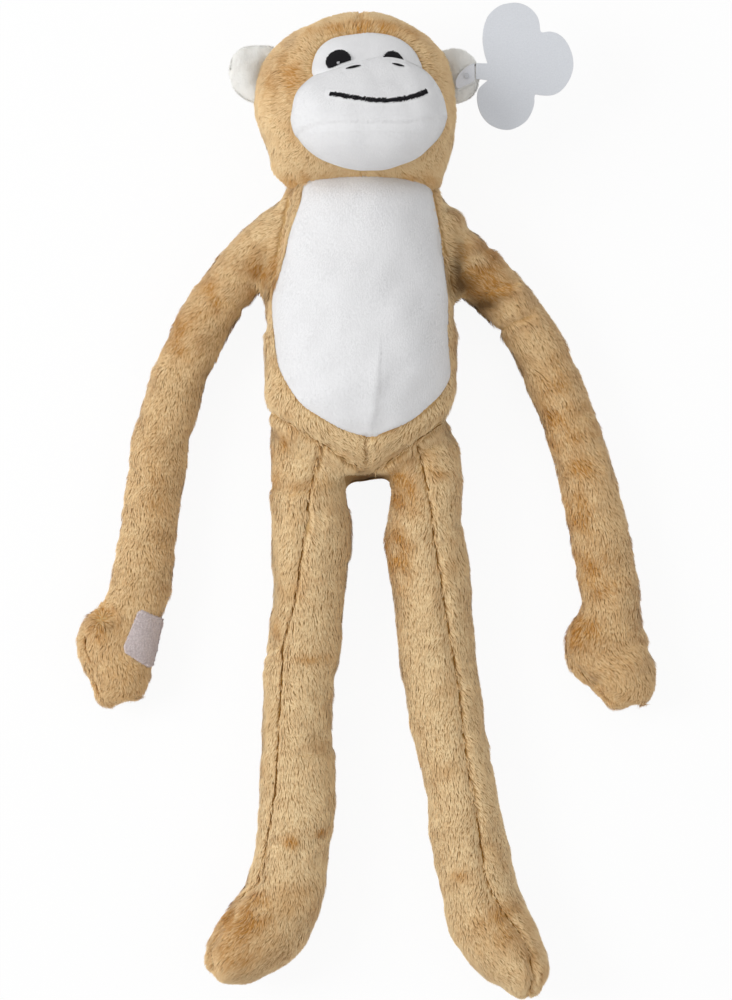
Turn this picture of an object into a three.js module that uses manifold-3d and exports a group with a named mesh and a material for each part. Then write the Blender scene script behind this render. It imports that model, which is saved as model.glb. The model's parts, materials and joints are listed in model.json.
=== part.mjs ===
// A long-limbed plush monkey lying on its back. Every stuffed form is a sewn skin of separate
// panels round a loose filling, and the head, arms and legs end in rounded seats that turn.
// Millimetres: +Z comes out of the belly, +Y points to the head, +X to the monkey's own left hand.
import * as THREE from "three";
import { mergeVertices } from "three/addons/utils/BufferGeometryUtils.js";
import Module from "manifold-3d";

const wasm = await Module();
wasm.setup();

// Fabric and fit
const skin = 2.4; // plush pile and its knitted backing
const gap = 0.3; // between sewn pieces that touch
const jointGap = 0.55; // between a turning form and its seat
const thighRoom = 2; // how much wider than the hip the torso opens for a lifted thigh
const floorCut = 0.5; // how far a soft underside is pressed flat by the floor

// Torso
const middle = -2.5; // the body's centre line
const neck = { along: 148, height: 33, wide: 39, radius: 33 };
const shoulders = {
  right: { out: 40, along: 129, height: 30, radius: 17 },
  left: { out: 40, along: 124, height: 30, radius: 17 },
};
const armholeFlare = { start: 80, out: 3, wider: 6 }; // how the armhole opens at the flank
const hips = {
  right: { out: 26.5, along: 17.5, height: 25, radius: 18.6 },
  left: { out: 31.8, along: 18, height: 25, radius: 18.2 },
};
// Each section is where it stands along the body, its half width, its rise above the body's
// mid-height and its drop below it.
const torsoHeight = 34;
const torsoSections = [
  { along: 130, wide: 42.3, up: 32.2, down: 34 },
  { along: 113, wide: 44.6, up: 35.5, down: 34.5 },
  { along: 95, wide: 47, up: 38, down: 34.5 },
  { along: 80, wide: 48, up: 38.5, down: 34.5 },
  { along: 66, wide: 47.7, up: 37.5, down: 34.5 },
  { along: 53, wide: 46, up: 34.5, down: 34.5 },
  { along: 43, wide: 43.5, up: 31, down: 34 },
  { along: 33, wide: 38, up: 26, down: 32.5 },
  { along: 24, wide: 30, up: 20, down: 29.5 },
  { along: 17, wide: 20, up: 13, down: 24 },
];
const seatReach = 6; // the rounded seat past the last section

// Head, with the places on it measured from its centre
const head = { along: 192, shift: -2 };
const headSections = [
  { along: 36, wide: 31.5, up: 28, down: 28 },
  { along: 28.5, wide: 39.5, up: 34.5, down: 34.5 },
  { along: 17, wide: 46.2, up: 41, down: 41 },
  { along: 2, wide: 49.2, up: 44.5, down: 44.5 },
  { along: -12, wide: 47.9, up: 43.9, down: 43.9 },
  { along: -22, wide: 44.6, up: 40, down: 40 },
  { along: -29, wide: 42, up: 34.5, down: 34.5 },
];
const crownReach = 10.5;
const napeReach = 7.3;
const headHeight = 44; // the head's mid-height, which leaves its back on the floor

// Muzzle, measured from the head's centre
const muzzle = { shift: 5.7, height: 34, base: 14 };
const muzzleSections = [
  { along: 15.5, wide: 21.5, up: 13 },
  { along: 9.5, wide: 28.8, up: 17.3 },
  { along: 1.5, wide: 35, up: 22.3 },
  { along: -7.5, wide: 37.3, up: 26 },
  { along: -15, wide: 36.3, up: 27.5 },
  { along: -22, wide: 32, up: 25.5 },
  { along: -28, wide: 25.5, up: 20 },
];
const browReach = 4.8;
const chinReach = 6.6;
const chinSeam = -15; // where the chin panel meets the upper one

// Face, measured from the head's centre
const mask = { shift: 4, along: 12.6, wide: 26.2, tall: 17 };
const eyes = {
  right: { shift: -8.4, along: 17.4, wide: 5.8, tall: 5.4 },
  left: { shift: 17.9, along: 17.6, wide: 4.9, tall: 5.2 },
};
const nostrils = {
  right: { shift: -1.4, along: 13.2, wide: 3.3, tall: 0.9 },
  left: { shift: 19.6, along: 14.3, wide: 2.7, tall: 0.9 },
};
const smile = { shift: 10.4, along: -2.3, wide: 22.8, sag: 4.6, tilt: 1, line: 2 };
const stitchRise = 0.8; // how far the embroidery stands over the plush

// Ears: round, flat, sewn to the sides of the head
const ears = {
  right: { out: 1.6, along: 17.2, radius: 14.3 },
  left: { out: 1.2, along: 16, radius: 13.8 },
};
const earHalf = 4.5; // half the ear's thickness
const earDish = 1.2; // how far the front dips in the middle

// Limbs. Each section is measured from the limb's joint: outwards, along the body, its half
// width, its half height and how far it is lifted off the floor.
const arms = {
  right: [
    { out: 10, along: -3, wide: 14.6, high: 16, lift: 13 },
    { out: 16.5, along: -9.5, wide: 13.2, high: 15, lift: 11 },
    { out: 33.5, along: -31, wide: 13, high: 14, lift: 6 },
    { out: 51.5, along: -68.5, wide: 13.6, high: 14, lift: 0.5 },
    { out: 59.5, along: -97, wide: 13.6, high: 14, lift: 0 },
    { out: 65.3, along: -134, wide: 13.9, high: 14, lift: 0 },
    { out: 69.5, along: -164, wide: 14.6, high: 14.3, lift: 0 },
    { out: 75.8, along: -183.5, wide: 17, high: 14.8, lift: 0 },
    { out: 81.7, along: -198, wide: 20.2, high: 15.2, lift: 0 },
    { out: 82.7, along: -213, wide: 16.6, high: 14.5, lift: 0 },
  ],
  left: [
    { out: 10, along: -2.5, wide: 14.8, high: 16.2, lift: 13 },
    { out: 17, along: -9, wide: 13.8, high: 15, lift: 11 },
    { out: 33.5, along: -25.5, wide: 13.2, high: 14, lift: 6.5 },
    { out: 56.5, along: -66, wide: 13.4, high: 14, lift: 0.5 },
    { out: 67.5, along: -94.7, wide: 13.6, high: 14, lift: 0 },
    { out: 77, along: -132, wide: 13.9, high: 14, lift: 0 },
    { out: 83.1, along: -163, wide: 14.4, high: 14.3, lift: 0 },
    { out: 84.1, along: -180, wide: 17, high: 14.9, lift: 0 },
    { out: 83.1, along: -197.5, wide: 22.6, high: 15.5, lift: 0 },
    { out: 89.1, along: -212, wide: 17.4, high: 14.8, lift: 0 },
  ],
};
const handReach = { right: 18, left: 15.5 };
const legs = {
  right: [
    { out: -0.8, along: -19.5, wide: 19, high: 18.6, lift: 4 },
    { out: -1.2, along: -37.5, wide: 19.8, high: 18.8, lift: 1.5 },
    { out: 0.2, along: -67.5, wide: 17.6, high: 18, lift: 0 },
    { out: 4.3, along: -107.5, wide: 17.4, high: 17.8, lift: 0 },
    { out: 5.3, along: -148, wide: 18.6, high: 18.3, lift: 0 },
    { out: 8, along: -185.5, wide: 18.2, high: 18.8, lift: 0 },
    { out: 12.5, along: -210.5, wide: 19.6, high: 20, lift: 0 },
    { out: 21.5, along: -228, wide: 21.2, high: 22, lift: 0.5 },
    { out: 31.5, along: -240, wide: 19, high: 21.3, lift: 3 },
  ],
  left: [
    { out: 0.9, along: -16.5, wide: 18.4, high: 18, lift: 4 },
    { out: 0.5, along: -35, wide: 19.3, high: 18.6, lift: 1.5 },
    { out: 4, along: -69.5, wide: 18.8, high: 18, lift: 0 },
    { out: 8, along: -109, wide: 18.6, high: 17.8, lift: 0 },
    { out: 14.4, along: -144.5, wide: 17.5, high: 18, lift: 0 },
    { out: 20.5, along: -178, wide: 17.8, high: 18.6, lift: 0 },
    { out: 26.2, along: -205, wide: 18.6, high: 19.8, lift: 0 },
    { out: 34.5, along: -226.5, wide: 20, high: 21.8, lift: 0.5 },
    { out: 42.2, along: -244, wide: 19.2, high: 21.3, lift: 3 },
  ],
};
const toeReach = { right: 19, left: 22 };
// The seam down the front of each leg, from the hip seam to the toe, measured from the hip
const legSeams = {
  right: [[-2.2, 8.5], [-2.2, -9.6], [1.7, -34.3], [4.6, -57], [9.3, -79.5], [13, -107.5], [16.2, -160.5], [19.2, -180.8], [23.3, -203.5], [31.5, -216], [41, -229.5], [46.5, -242.5]],
  left: [[-1.8, 9], [-0.8, -4], [5.2, -43], [10, -72.7], [16.3, -110.6], [20.2, -146], [25.7, -176], [29.7, -203], [34.4, -214], [39.8, -222.8], [46.7, -234], [50.7, -250], [51.3, -264]],
};

// The belly panel's outline, from the middle of its upper edge round by the monkey's left side,
// measured from the body's centre line
const bellyOutline = [
  [2.5, 160.5], [17.5, 159.3], [32, 154.5], [39.5, 132], [42.8, 101], [44, 70], [37, 49.5], [21.5, 36.5],
  [4.5, 31], [-13, 37], [-30, 49.5], [-41, 68], [-43.7, 92], [-40.4, 114], [-33.3, 138], [-28, 154],
  [-13, 159.4],
];

// Fastening tapes on the hands, each a patch given by its corners, measured from the shoulder
const loopPatch = [[70.1, -183], [58.5, -188.8], [65.4, -213.5], [78.5, -203.6]];
const hookPatch = [[59, -181.5], [73, -176.5], [79, -198.5], [63, -207.5]];
const tapeRise = 1; // the tape's thickness
const hookBand = [2.5, 9.5]; // the hidden tape's lower and upper height on the side of the hand

// Hang tag: a three-lobed card whose strap is folded over the left ear, measured from the fold
const card = { thick: 0.6, strap: 8.6, fold: [9.6, 0.8], droop: 8, crease: 0.4 };
const lobes = [[20.9, 19.4, 15], [36, 4.6, 15.2], [15.9, -13.6, 14.6]];
const cardHeart = [22, 3.5, 13]; // the middle of the card, between its lobes
const flap = { long: 8.6, turn: 24 };
const pin = { shank: 0.6, head: 1.3, thick: 0.7, inset: 3.6 };

// How finely the forms and the seats in them are faceted, outside and inside the fabric
const fine = { sides: 16, steps: 6, round: 3, seat: 14 };
const limbFine = { sides: 10, steps: 7, round: 3 };
const coarse = { sides: 8, steps: 5, round: 2, seat: 8 };
const limbCoarse = { sides: 6, steps: 5, round: 2 };
const far = 400; // past the end of every form

// The solid of a closed geometry
function solidOf(geometry) {
  const bare = new THREE.BufferGeometry();
  bare.setAttribute("position", geometry.getAttribute("position"));
  if (geometry.index) bare.setIndex(geometry.index);
  const merged = mergeVertices(bare, 1e-4);
  return new wasm.Manifold(
    new wasm.Mesh({
      numProp: 3,
      vertProperties: new Float32Array(merged.attributes.position.array),
      triVerts: new Uint32Array(merged.index.array),
    }),
  );
}

function geometryOf(solid) {
  const mesh = solid.getMesh();
  const geometry = new THREE.BufferGeometry();
  geometry.setAttribute("position", new THREE.BufferAttribute(mesh.vertProperties, mesh.numProp));
  geometry.setIndex(new THREE.BufferAttribute(mesh.triVerts, 1));
  return geometry;
}

const less = (solid, ...tools) => tools.reduce((made, tool) => made.subtract(tool), solid);

function block([x0, y0, z0], [x1, y1, z1]) {
  const box = new THREE.BoxGeometry(x1 - x0, y1 - y0, z1 - z0);
  return solidOf(box.translate((x0 + x1) / 2, (y0 + y1) / 2, (z0 + z1) / 2));
}

// A form pressed flat by the floor. What lies inside its fabric stays clear of the floor.
const floor = block([-far, -far, -far], [far, far, 0]);
const rested = (solid, depth) => (depth === 0 ? solid.subtract(floor) : solid);

// An outline in plan, drawn up from z0 to z1
function prism(points, z0, z1) {
  const shape = new THREE.Shape(points.map(([x, y]) => new THREE.Vector2(x, y)));
  const geometry = new THREE.ExtrudeGeometry(shape, { depth: z1 - z0, bevelEnabled: false });
  return solidOf(geometry.translate(0, 0, z0));
}

// Points of a closed smooth outline, moved outwards by `grow`
function smoothOutline(points, count, grow) {
  const curve = new THREE.CatmullRomCurve3(
    points.map(([x, y]) => new THREE.Vector3(x, y, 0)),
    true,
  );
  return Array.from({ length: count }, (_, i) => {
    const at = curve.getPointAt(i / count);
    const tangent = curve.getTangentAt(i / count);
    return [at.x - tangent.y * grow, at.y + tangent.x * grow];
  });
}

function oval(x, y, wide, tall, count) {
  return Array.from({ length: count }, (_, i) => {
    const a = (2 * Math.PI * i) / count;
    return [x + wide * Math.cos(a), y + tall * Math.sin(a)];
  });
}

// The rings of one rounded end: they shrink to a point, `reach` from the ring they start at
function roundedEnd(ring, reach, count) {
  return Array.from({ length: count }, (_, i) => {
    const a = (Math.PI / 2) * ((i + 1) / count);
    return {
      at: ring.at.clone().addScaledVector(ring.tangent, reach * Math.sin(a)),
      tangent: ring.tangent,
      size: ring.size.clone().multiplyScalar(Math.max(Math.cos(a), 0)),
    };
  });
}

// A closed form through its sections, `depth` inside its own surface. A section has its centre,
// half width, rise and drop. The ends are rounded.
function loft(form, depth, { sides, steps, round }) {
  const places = new THREE.CatmullRomCurve3(form.sections.map((s) => new THREE.Vector3(...s.at)));
  const sizes = new THREE.CatmullRomCurve3(
    form.sections.map((s) => new THREE.Vector3(s.wide, s.up, s.down)),
  );
  const ringAt = (t) => ({
    at: places.getPoint(t),
    tangent: places.getTangent(t).setZ(0).normalize(),
    size: sizes.getPoint(t).subScalar(depth),
  });
  const between = Array.from({ length: steps + 1 }, (_, i) => ringAt(i / steps));
  const rings = [
    ...roundedEnd(between[0], -(form.startReach - depth), round).reverse(),
    ...between,
    ...roundedEnd(between[steps], form.endReach - depth, round),
  ];
  const points = [rings[0].at];
  for (const { at, tangent, size } of rings.slice(1, -1)) {
    for (let i = 0; i < sides; i++) {
      const a = (2 * Math.PI * i) / sides;
      const across = size.x * Math.cos(a);
      const rise = Math.sin(a) * (Math.sin(a) > 0 ? size.y : size.z);
      points.push(new THREE.Vector3(at.x + tangent.y * across, at.y - tangent.x * across, at.z + rise));
    }
  }
  points.push(rings.at(-1).at);
  const corners = [];
  const count = rings.length - 2;
  const corner = (ring, i) => 1 + ring * sides + (i % sides);
  for (let i = 0; i < sides; i++) {
    corners.push(0, corner(0, i), corner(0, i + 1));
    for (let ring = 0; ring < count - 1; ring++) {
      const [a, b] = [corner(ring, i), corner(ring, i + 1)];
      const [c, d] = [corner(ring + 1, i), corner(ring + 1, i + 1)];
      corners.push(a, c, b, b, c, d);
    }
    corners.push(points.length - 1, corner(count - 1, i + 1), corner(count - 1, i));
  }
  const geometry = new THREE.BufferGeometry().setFromPoints(points);
  geometry.setIndex(corners);
  return solidOf(geometry);
}

// How much larger a faceted ball is made so that a round one still turns inside it
const faceted = (around, along) => 1 / (Math.cos(Math.PI / around) * Math.cos(Math.PI / along / 2));

// A solid of revolution about the X axis through `centre`: profile points are [x, radius]
function turnedAboutX(profile, centre, facets) {
  const lathe = new THREE.LatheGeometry(
    profile.map(([x, r]) => new THREE.Vector2(r, x)),
    facets,
  );
  const turned = lathe.rotateZ(-Math.PI / 2);
  return solidOf(turned.translate(...centre));
}

const sideSign = { right: -1, left: 1 };
const jointOf = (joints, side) => {
  const { out, along, height } = joints[side];
  return [middle + sideSign[side] * out, along, height];
};

// The torso with its neck dome. The first section is the dome's own widest ring.
const torso = {
  sections: [
    { at: [middle, neck.along, neck.height], wide: neck.wide, up: neck.radius, down: neck.radius },
    ...torsoSections.map(({ along, ...size }) => ({ at: [middle, along, torsoHeight], ...size })),
  ],
  startReach: neck.radius,
  endReach: seatReach,
};

// The hollow that the head turns in, an egg about the neck's axis, `depth` inside the head
function neckSeat(depth, { seat }) {
  const size = (half) => (half + jointGap + depth) * faceted(seat, seat / 2);
  const egg = new THREE.SphereGeometry(1, seat, seat / 2).rotateZ(Math.PI / 2);
  egg.scale(size(neck.wide), size(neck.radius), size(neck.radius));
  return solidOf(egg.translate(middle, neck.along, neck.height));
}

// The armhole: a round seat about the shoulder's axis that flares at the flank
function shoulderSeat(side, depth, { seat }) {
  const quarter = Math.round(seat / 4);
  const grow = (shoulders[side].radius + jointGap + depth) * faceted(seat, 2 * quarter);
  const profile = Array.from({ length: quarter + 1 }, (_, i) => {
    const a = THREE.MathUtils.degToRad(armholeFlare.start) * (i / quarter);
    return [-grow * Math.cos(a), grow * Math.sin(a)];
  });
  const { out, wider } = armholeFlare;
  profile.push([out, grow + wider], [far, grow + wider], [far, 0]);
  const turned = profile.map(([x, r]) => [sideSign[side] * x, r]);
  if (side === "right") turned.reverse();
  return turnedAboutX(turned, jointOf(shoulders, side), seat);
}

// Room for the thigh: a ball about the hip that opens forwards and towards the feet
function hipSeat(side, depth, { seat }) {
  const [x, y, z] = jointOf(hips, side);
  const grow = (hips[side].radius + jointGap + depth) * faceted(seat, seat / 2);
  const ball = new THREE.SphereGeometry(grow, seat, seat / 2).rotateX(Math.PI / 2);
  const wide = (hips[side].radius + thighRoom + depth) * faceted(seat, far);
  const shaft = new THREE.CylinderGeometry(wide, wide, far, seat).rotateX(Math.PI / 2);
  const forwards = solidOf(shaft.translate(x, y, z + far / 2));
  const downwards = block([x - wide, -far, -far], [x + wide, y, far]);
  return solidOf(ball.translate(x, y, z)).add(forwards).add(downwards);
}

function torsoAt(depth, detail) {
  return less(
    rested(loft(torso, depth, detail), depth),
    ...["right", "left"].flatMap((side) => [
      shoulderSeat(side, depth, detail),
      hipSeat(side, depth, detail),
    ]),
  );
}

const headCentre = [middle + head.shift, head.along, headHeight];
const headForm = {
  sections: headSections.map(({ along, ...size }) => ({
    at: [headCentre[0], head.along + along, headHeight],
    ...size,
  })),
  startReach: crownReach,
  endReach: napeReach,
};
const headAt = (depth, detail) =>
  rested(loft(headForm, depth, detail), depth).subtract(neckSeat(depth, detail));

const onHead = ({ shift, along }) => [headCentre[0] + shift, head.along + along];
const muzzleForm = {
  sections: muzzleSections.map(({ along, wide, up }) => ({
    at: [headCentre[0] + muzzle.shift, head.along + along, headHeight + muzzle.height],
    wide,
    up,
    down: muzzle.base,
  })),
  startReach: browReach,
  endReach: chinReach,
};
const muzzleAt = (depth, detail) => loft(muzzleForm, depth, detail);

function limb(joints, sections, side, endReach) {
  const [x, y, z] = jointOf(joints, side);
  const { radius } = joints[side];
  const facetDrop = Math.cos(Math.PI / limbFine.sides);
  return {
    sections: [
      { at: [x, y, z], wide: radius, up: radius, down: radius },
      ...sections[side].map(({ out, along, wide, high, lift }) => ({
        at: [x + sideSign[side] * out, y + along, high * facetDrop - floorCut + lift],
        wide,
        up: high,
        down: high,
      })),
    ],
    startReach: radius,
    endReach: endReach[side],
  };
}
const limbAt = (form, depth, detail) => rested(loft(form, depth, detail), depth);

// Finishes, as the colours of the real fabrics
const finish = (color, roughness) => new THREE.MeshStandardMaterial({ color, roughness, metalness: 0 });
const tanPlush = finish(0xc9a26b, 0.95);
const whitePlush = finish(0xeeeeef, 0.95);
const creamPlush = finish(0xeceae2, 0.95);
const fibreFill = finish(0xf6f6f4, 1);
const blackThread = finish(0x1e1c1f, 0.5);
const loopTape = finish(0xc0b2b4, 0.9);
const hookTape = finish(0xb9adb0, 0.7);
const tagCard = finish(0xcfd2d6, 0.6);
const clearPlastic = finish(0xe8e8e8, 0.3);

const monkey = new THREE.Group();
function place(name, solid, material) {
  const mesh = new THREE.Mesh(geometryOf(solid), material);
  mesh.name = name;
  monkey.add(mesh);
  return mesh;
}

// Blocks on either side of an upright seam at x, which leave the sewing gap between them
const rightOf = (x) => block([-far, -far, -far], [x - gap / 2, far, far]);
const leftOf = (x) => block([x + gap / 2, -far, -far], [far, far, far]);

function addTorso() {
  const outline = (grow) =>
    smoothOutline(bellyOutline.map(([x, y]) => [middle + x, y]), 22, grow);
  const bib = prism(outline(0), torsoHeight, far);
  const bibRoom = prism(outline(gap), torsoHeight, far);
  const cloth = torsoAt(0, fine).subtract(torsoAt(skin, coarse));
  const sides = cloth.subtract(bibRoom);
  place("torso_panel_right", sides.intersect(rightOf(middle)), tanPlush);
  place("torso_panel_left", sides.intersect(leftOf(middle)), tanPlush);
  place("belly_panel", cloth.intersect(bib), whitePlush);
  place("torso_filling", torsoAt(skin + gap, coarse), fibreFill);
}

function addHead() {
  const [maskX, maskY] = onHead(mask);
  const maskOutline = (grow) => oval(maskX, maskY, mask.wide + grow, mask.tall + grow, 20);
  const cloth = headAt(0, fine).subtract(headAt(skin, coarse)).subtract(muzzleAt(skin, coarse));
  const sides = cloth.subtract(prism(maskOutline(gap), headHeight, far));
  place("head_panel_right", sides.intersect(rightOf(headCentre[0])), tanPlush);
  place("head_panel_left", sides.intersect(leftOf(headCentre[0])), tanPlush);
  place("face_mask", cloth.intersect(prism(maskOutline(0), headHeight, far)), whitePlush);
  // The muzzle is sewn round an opening of the face, so one filling fills both
  const stuffed = headAt(skin + gap, coarse).add(muzzleAt(skin + gap, coarse));
  place("head_filling", stuffed, fibreFill);

  const snout = less(muzzleAt(0, fine), muzzleAt(skin, coarse), headAt(-gap, fine));
  const seam = head.along + chinSeam;
  const above = block([-far, seam + gap / 2, -far], [far, far, far]);
  const below = block([-far, -far, -far], [far, seam - gap / 2, far]);
  place("muzzle_upper_panel", snout.intersect(above), whitePlush);
  place("muzzle_chin_panel", snout.intersect(below), whitePlush);
}

// A thin raised patch that follows a form inside an outline, between two heights
function patch(formAt, outline, rise, z0, z1) {
  const layer = formAt(-gap - rise).subtract(formAt(-gap));
  return layer.intersect(prism(outline, z0, z1));
}

function addFace() {
  const faceAt = (depth) => headAt(depth, fine);
  const snoutAt = (depth) => muzzleAt(depth, fine);
  for (const side of ["right", "left"]) {
    const eye = eyes[side];
    const eyeOutline = oval(...onHead(eye), eye.wide, eye.tall, 20);
    const whole = patch(faceAt, eyeOutline, stitchRise, headHeight, far);
    place(`eye_${side}`, whole.subtract(snoutAt(-gap)), blackThread);
    const nostril = nostrils[side];
    const slit = oval(...onHead(nostril), nostril.wide, nostril.tall, 12);
    place(`nostril_${side}`, patch(snoutAt, slit, stitchRise, headHeight + muzzle.height, far), blackThread);
  }
  const [x, y] = onHead(smile);
  const arc = (offset, t) => [
    x + smile.wide * t,
    y + smile.tilt * t + smile.sag * (t * t - 0.5) + offset,
  ];
  const steps = Array.from({ length: 13 }, (_, i) => -1 + i / 6);
  const lips = [
    ...steps.map((t) => arc(-smile.line / 2, t)),
    ...steps.toReversed().map((t) => arc(smile.line / 2, t)),
  ];
  place("mouth", patch(snoutAt, lips, stitchRise, headHeight + muzzle.height, far), blackThread);
}

// Half the width of the head at a place along it
function headHalfWidth(along) {
  const next = headSections.findIndex((s) => s.along <= along);
  const [a, b] = [headSections[next - 1], headSections[next]];
  return b.wide + ((a.wide - b.wide) * (along - b.along)) / (a.along - b.along);
}

function earCentre(side) {
  const { out, along } = ears[side];
  const x = headCentre[0] + sideSign[side] * (headHalfWidth(along) + out);
  return [x, head.along + along, headHeight];
}

function pinSolid(at, grow, low, high) {
  const { shank, head: cap, thick } = pin;
  const end = shank + 0.5 + grow;
  const profile = [
    [0, low - thick - grow], [end, low - thick - grow], [end, low + grow], [shank + grow, low + grow],
    [shank + grow, high - grow], [cap + grow, high - grow], [cap + grow, high + thick + grow],
    [0, high + thick + grow],
  ];
  const lathe = new THREE.LatheGeometry(profile.map(([r, z]) => new THREE.Vector2(r, z)), 10);
  return solidOf(lathe.rotateX(Math.PI / 2).translate(at[0], at[1], 0));
}

// The fold of the tag's strap over the ear, and the places measured from it
const foldAt = (() => {
  const [x, y, z] = earCentre("left");
  return [x + card.fold[0], y + card.fold[1], z + earHalf + gap];
})();
const pinAt = [foldAt[0] - pin.inset, foldAt[1] - 1.6];

function addEars() {
  const { radius: r } = ears.right;
  for (const side of ["right", "left"]) {
    const [x, y, z] = earCentre(side);
    const size = ears[side].radius / r;
    const half = (sign) => {
      const rim = sign > 0 ? earDish : 0;
      const profile = [
        [0, gap / 2], [r - 0.6, gap / 2], [r, 1.2], [r - 1.2, 3.2], [r - 3.5, earHalf],
        [r * 0.5, earHalf - rim * 0.7], [0, earHalf - rim],
      ].map(([radius, height]) => new THREE.Vector2(radius, height));
      const lathe = new THREE.LatheGeometry(profile, 22).rotateX(Math.PI / 2);
      if (sign < 0) lathe.rotateX(Math.PI);
      return solidOf(lathe.scale(size, size, 1).translate(x, y, z)).subtract(headAt(-gap, fine));
    };
    let [front, back] = [half(1), half(-1)];
    if (side === "left") {
      const hole = pinSolid(pinAt, gap, z - earHalf - gap, foldAt[2] + card.thick + gap);
      [front, back] = [front.subtract(hole), back.subtract(hole)];
    }
    place(`ear_front_${side}`, front, creamPlush);
    place(`ear_back_${side}`, back, creamPlush);
  }
}

function addArms() {
  for (const side of ["right", "left"]) {
    const form = limb(shoulders, arms, side, handReach);
    const cloth = limbAt(form, 0, limbFine).subtract(limbAt(form, skin, limbCoarse));
    // The seam runs round the arm's outline at its own mid-height
    const line = form.sections.map(({ at }) => [at[1], at[2]]);
    const path = [[far, line[0][1]], ...line, [-far, line.at(-1)[1]]];
    const over = (shift, top) => {
      const points = [...path.map(([y, z]) => [y, z + shift]), [-far, top], [far, top]];
      const shape = new THREE.Shape(points.map(([y, z]) => new THREE.Vector2(y, z)));
      const slab = new THREE.ExtrudeGeometry(shape, { depth: 2 * far, bevelEnabled: false });
      slab.translate(0, 0, -far).applyMatrix4(
        new THREE.Matrix4().makeBasis(
          new THREE.Vector3(0, 1, 0),
          new THREE.Vector3(0, 0, 1),
          new THREE.Vector3(1, 0, 0),
        ),
      );
      return solidOf(slab);
    };
    place(`arm_front_panel_${side}`, cloth.intersect(over(gap / 2, far)), tanPlush);
    place(`arm_back_panel_${side}`, cloth.intersect(over(-gap / 2, -far)), tanPlush);
    place(`arm_filling_${side}`, limbAt(form, skin + gap, limbCoarse), fibreFill);

    const [x, y] = jointOf(shoulders, side);
    const corners = (side === "right" ? loopPatch : hookPatch).map(([out, along]) => [
      x + sideSign[side] * out,
      y + along,
    ]);
    const handAt = (depth) => limbAt(form, depth, limbFine);
    if (side === "right") {
      place("loop_pad", patch(handAt, corners, tapeRise, form.sections.at(-1).at[2], far), loopTape);
    } else {
      place("hook_pad", patch(handAt, corners, tapeRise, ...hookBand), hookTape);
    }
  }
}

function addLegs() {
  for (const side of ["right", "left"]) {
    const form = limb(hips, legs, side, toeReach);
    const cloth = limbAt(form, 0, limbFine).subtract(limbAt(form, skin, limbCoarse));
    const sign = sideSign[side];
    const [x, y] = jointOf(hips, side);
    // The front seam drawn straight down through the leg parts its outer panel from its inner one
    const curve = new THREE.CatmullRomCurve3(
      legSeams[side].map(([out, along]) => new THREE.Vector3(x + sign * out, y + along, 0)),
    );
    const seam = curve.getPoints(12).map((p) => [p.x, p.y]);
    const part = (away) => {
      const shift = (sign * away * gap) / 2;
      const path = seam.map(([px, py]) => [px + shift, py]);
      const [start, end] = [path[0], path.at(-1)];
      const edge = sign * away * far;
      const points = [[start[0], far], ...path, [end[0], -far], [edge, -far], [edge, far]];
      return prism(points, -far, far);
    };
    place(`leg_outer_panel_${side}`, cloth.intersect(part(1)), tanPlush);
    place(`leg_inner_panel_${side}`, cloth.intersect(part(-1)), tanPlush);
    place(`leg_filling_${side}`, limbAt(form, skin + gap, limbCoarse), fibreFill);
  }
}

function addTag() {
  const [x, y, z] = foldAt;
  const disc = ([dx, dy, r]) =>
    solidOf(
      new THREE.CylinderGeometry(r, r, card.thick, 40)
        .rotateX(Math.PI / 2)
        .translate(dx, dy, card.thick / 2),
    );
  const strap = block([card.crease, -card.strap / 2, 0], [cardHeart[0], card.strap / 2, card.thick]);
  const face = lobes.reduce((made, lobe) => made.add(disc(lobe)), strap.add(disc(cardHeart)));
  const tag = place("hang_tag_card", face, tagCard);
  tag.position.set(x, y, z);
  tag.rotation.y = THREE.MathUtils.degToRad(card.droop);

  // The strap's end, turned down the ear's slope and pinned through it
  const turn = THREE.MathUtils.degToRad(flap.turn);
  const end = [
    [-card.crease, -card.strap / 2], [-card.crease, card.strap / 2],
    [-flap.long * Math.cos(turn), card.strap / 2 - flap.long * Math.sin(turn)],
    [-flap.long, -card.strap / 2 - 1],
  ];
  const sheet = prism(end.map(([dx, dy]) => [x + dx, y + dy]), z, z + card.thick);
  const low = earCentre("left")[2] - earHalf - gap;
  const top = z + card.thick + gap;
  place("hang_tag_flap", sheet.subtract(pinSolid(pinAt, gap, low, top)), tagCard);
  place("tag_pin", pinSolid(pinAt, 0, low, top), clearPlastic);
}

addTorso();
addHead();
addFace();
addEars();
addArms();
addLegs();
addTag();

export default monkey;
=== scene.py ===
"""A long-limbed plush monkey lying on its back: brushed tan pile, white face and belly, blank hang tag."""
import json
import math

import bmesh
import bpy
import numpy as np
from bpy.props import FloatProperty, IntProperty, PointerProperty, StringProperty
from bpy.types import Operator, Panel, PropertyGroup
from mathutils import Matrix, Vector
from mathutils.bvhtree import BVHTree


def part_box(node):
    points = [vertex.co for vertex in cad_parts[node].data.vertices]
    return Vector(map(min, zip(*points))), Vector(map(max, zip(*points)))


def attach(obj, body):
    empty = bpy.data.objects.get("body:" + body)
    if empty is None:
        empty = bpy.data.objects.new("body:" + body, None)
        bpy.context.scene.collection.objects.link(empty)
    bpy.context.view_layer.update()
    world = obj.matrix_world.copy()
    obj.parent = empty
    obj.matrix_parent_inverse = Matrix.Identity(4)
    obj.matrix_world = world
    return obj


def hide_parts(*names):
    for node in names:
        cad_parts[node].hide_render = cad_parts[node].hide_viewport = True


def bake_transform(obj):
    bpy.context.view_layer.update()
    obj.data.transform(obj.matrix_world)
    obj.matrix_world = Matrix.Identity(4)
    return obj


bl_info = {
    "name": "Plush Monkey",
    "version": (1, 0, 0),
    "blender": (4, 5, 0),
    "location": "View3D > Sidebar > Plush Monkey",
    "description": "Dresses the packed monkey with sewn plush, embroidery, tapes and a hang tag",
    "category": "Object",
}

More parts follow.
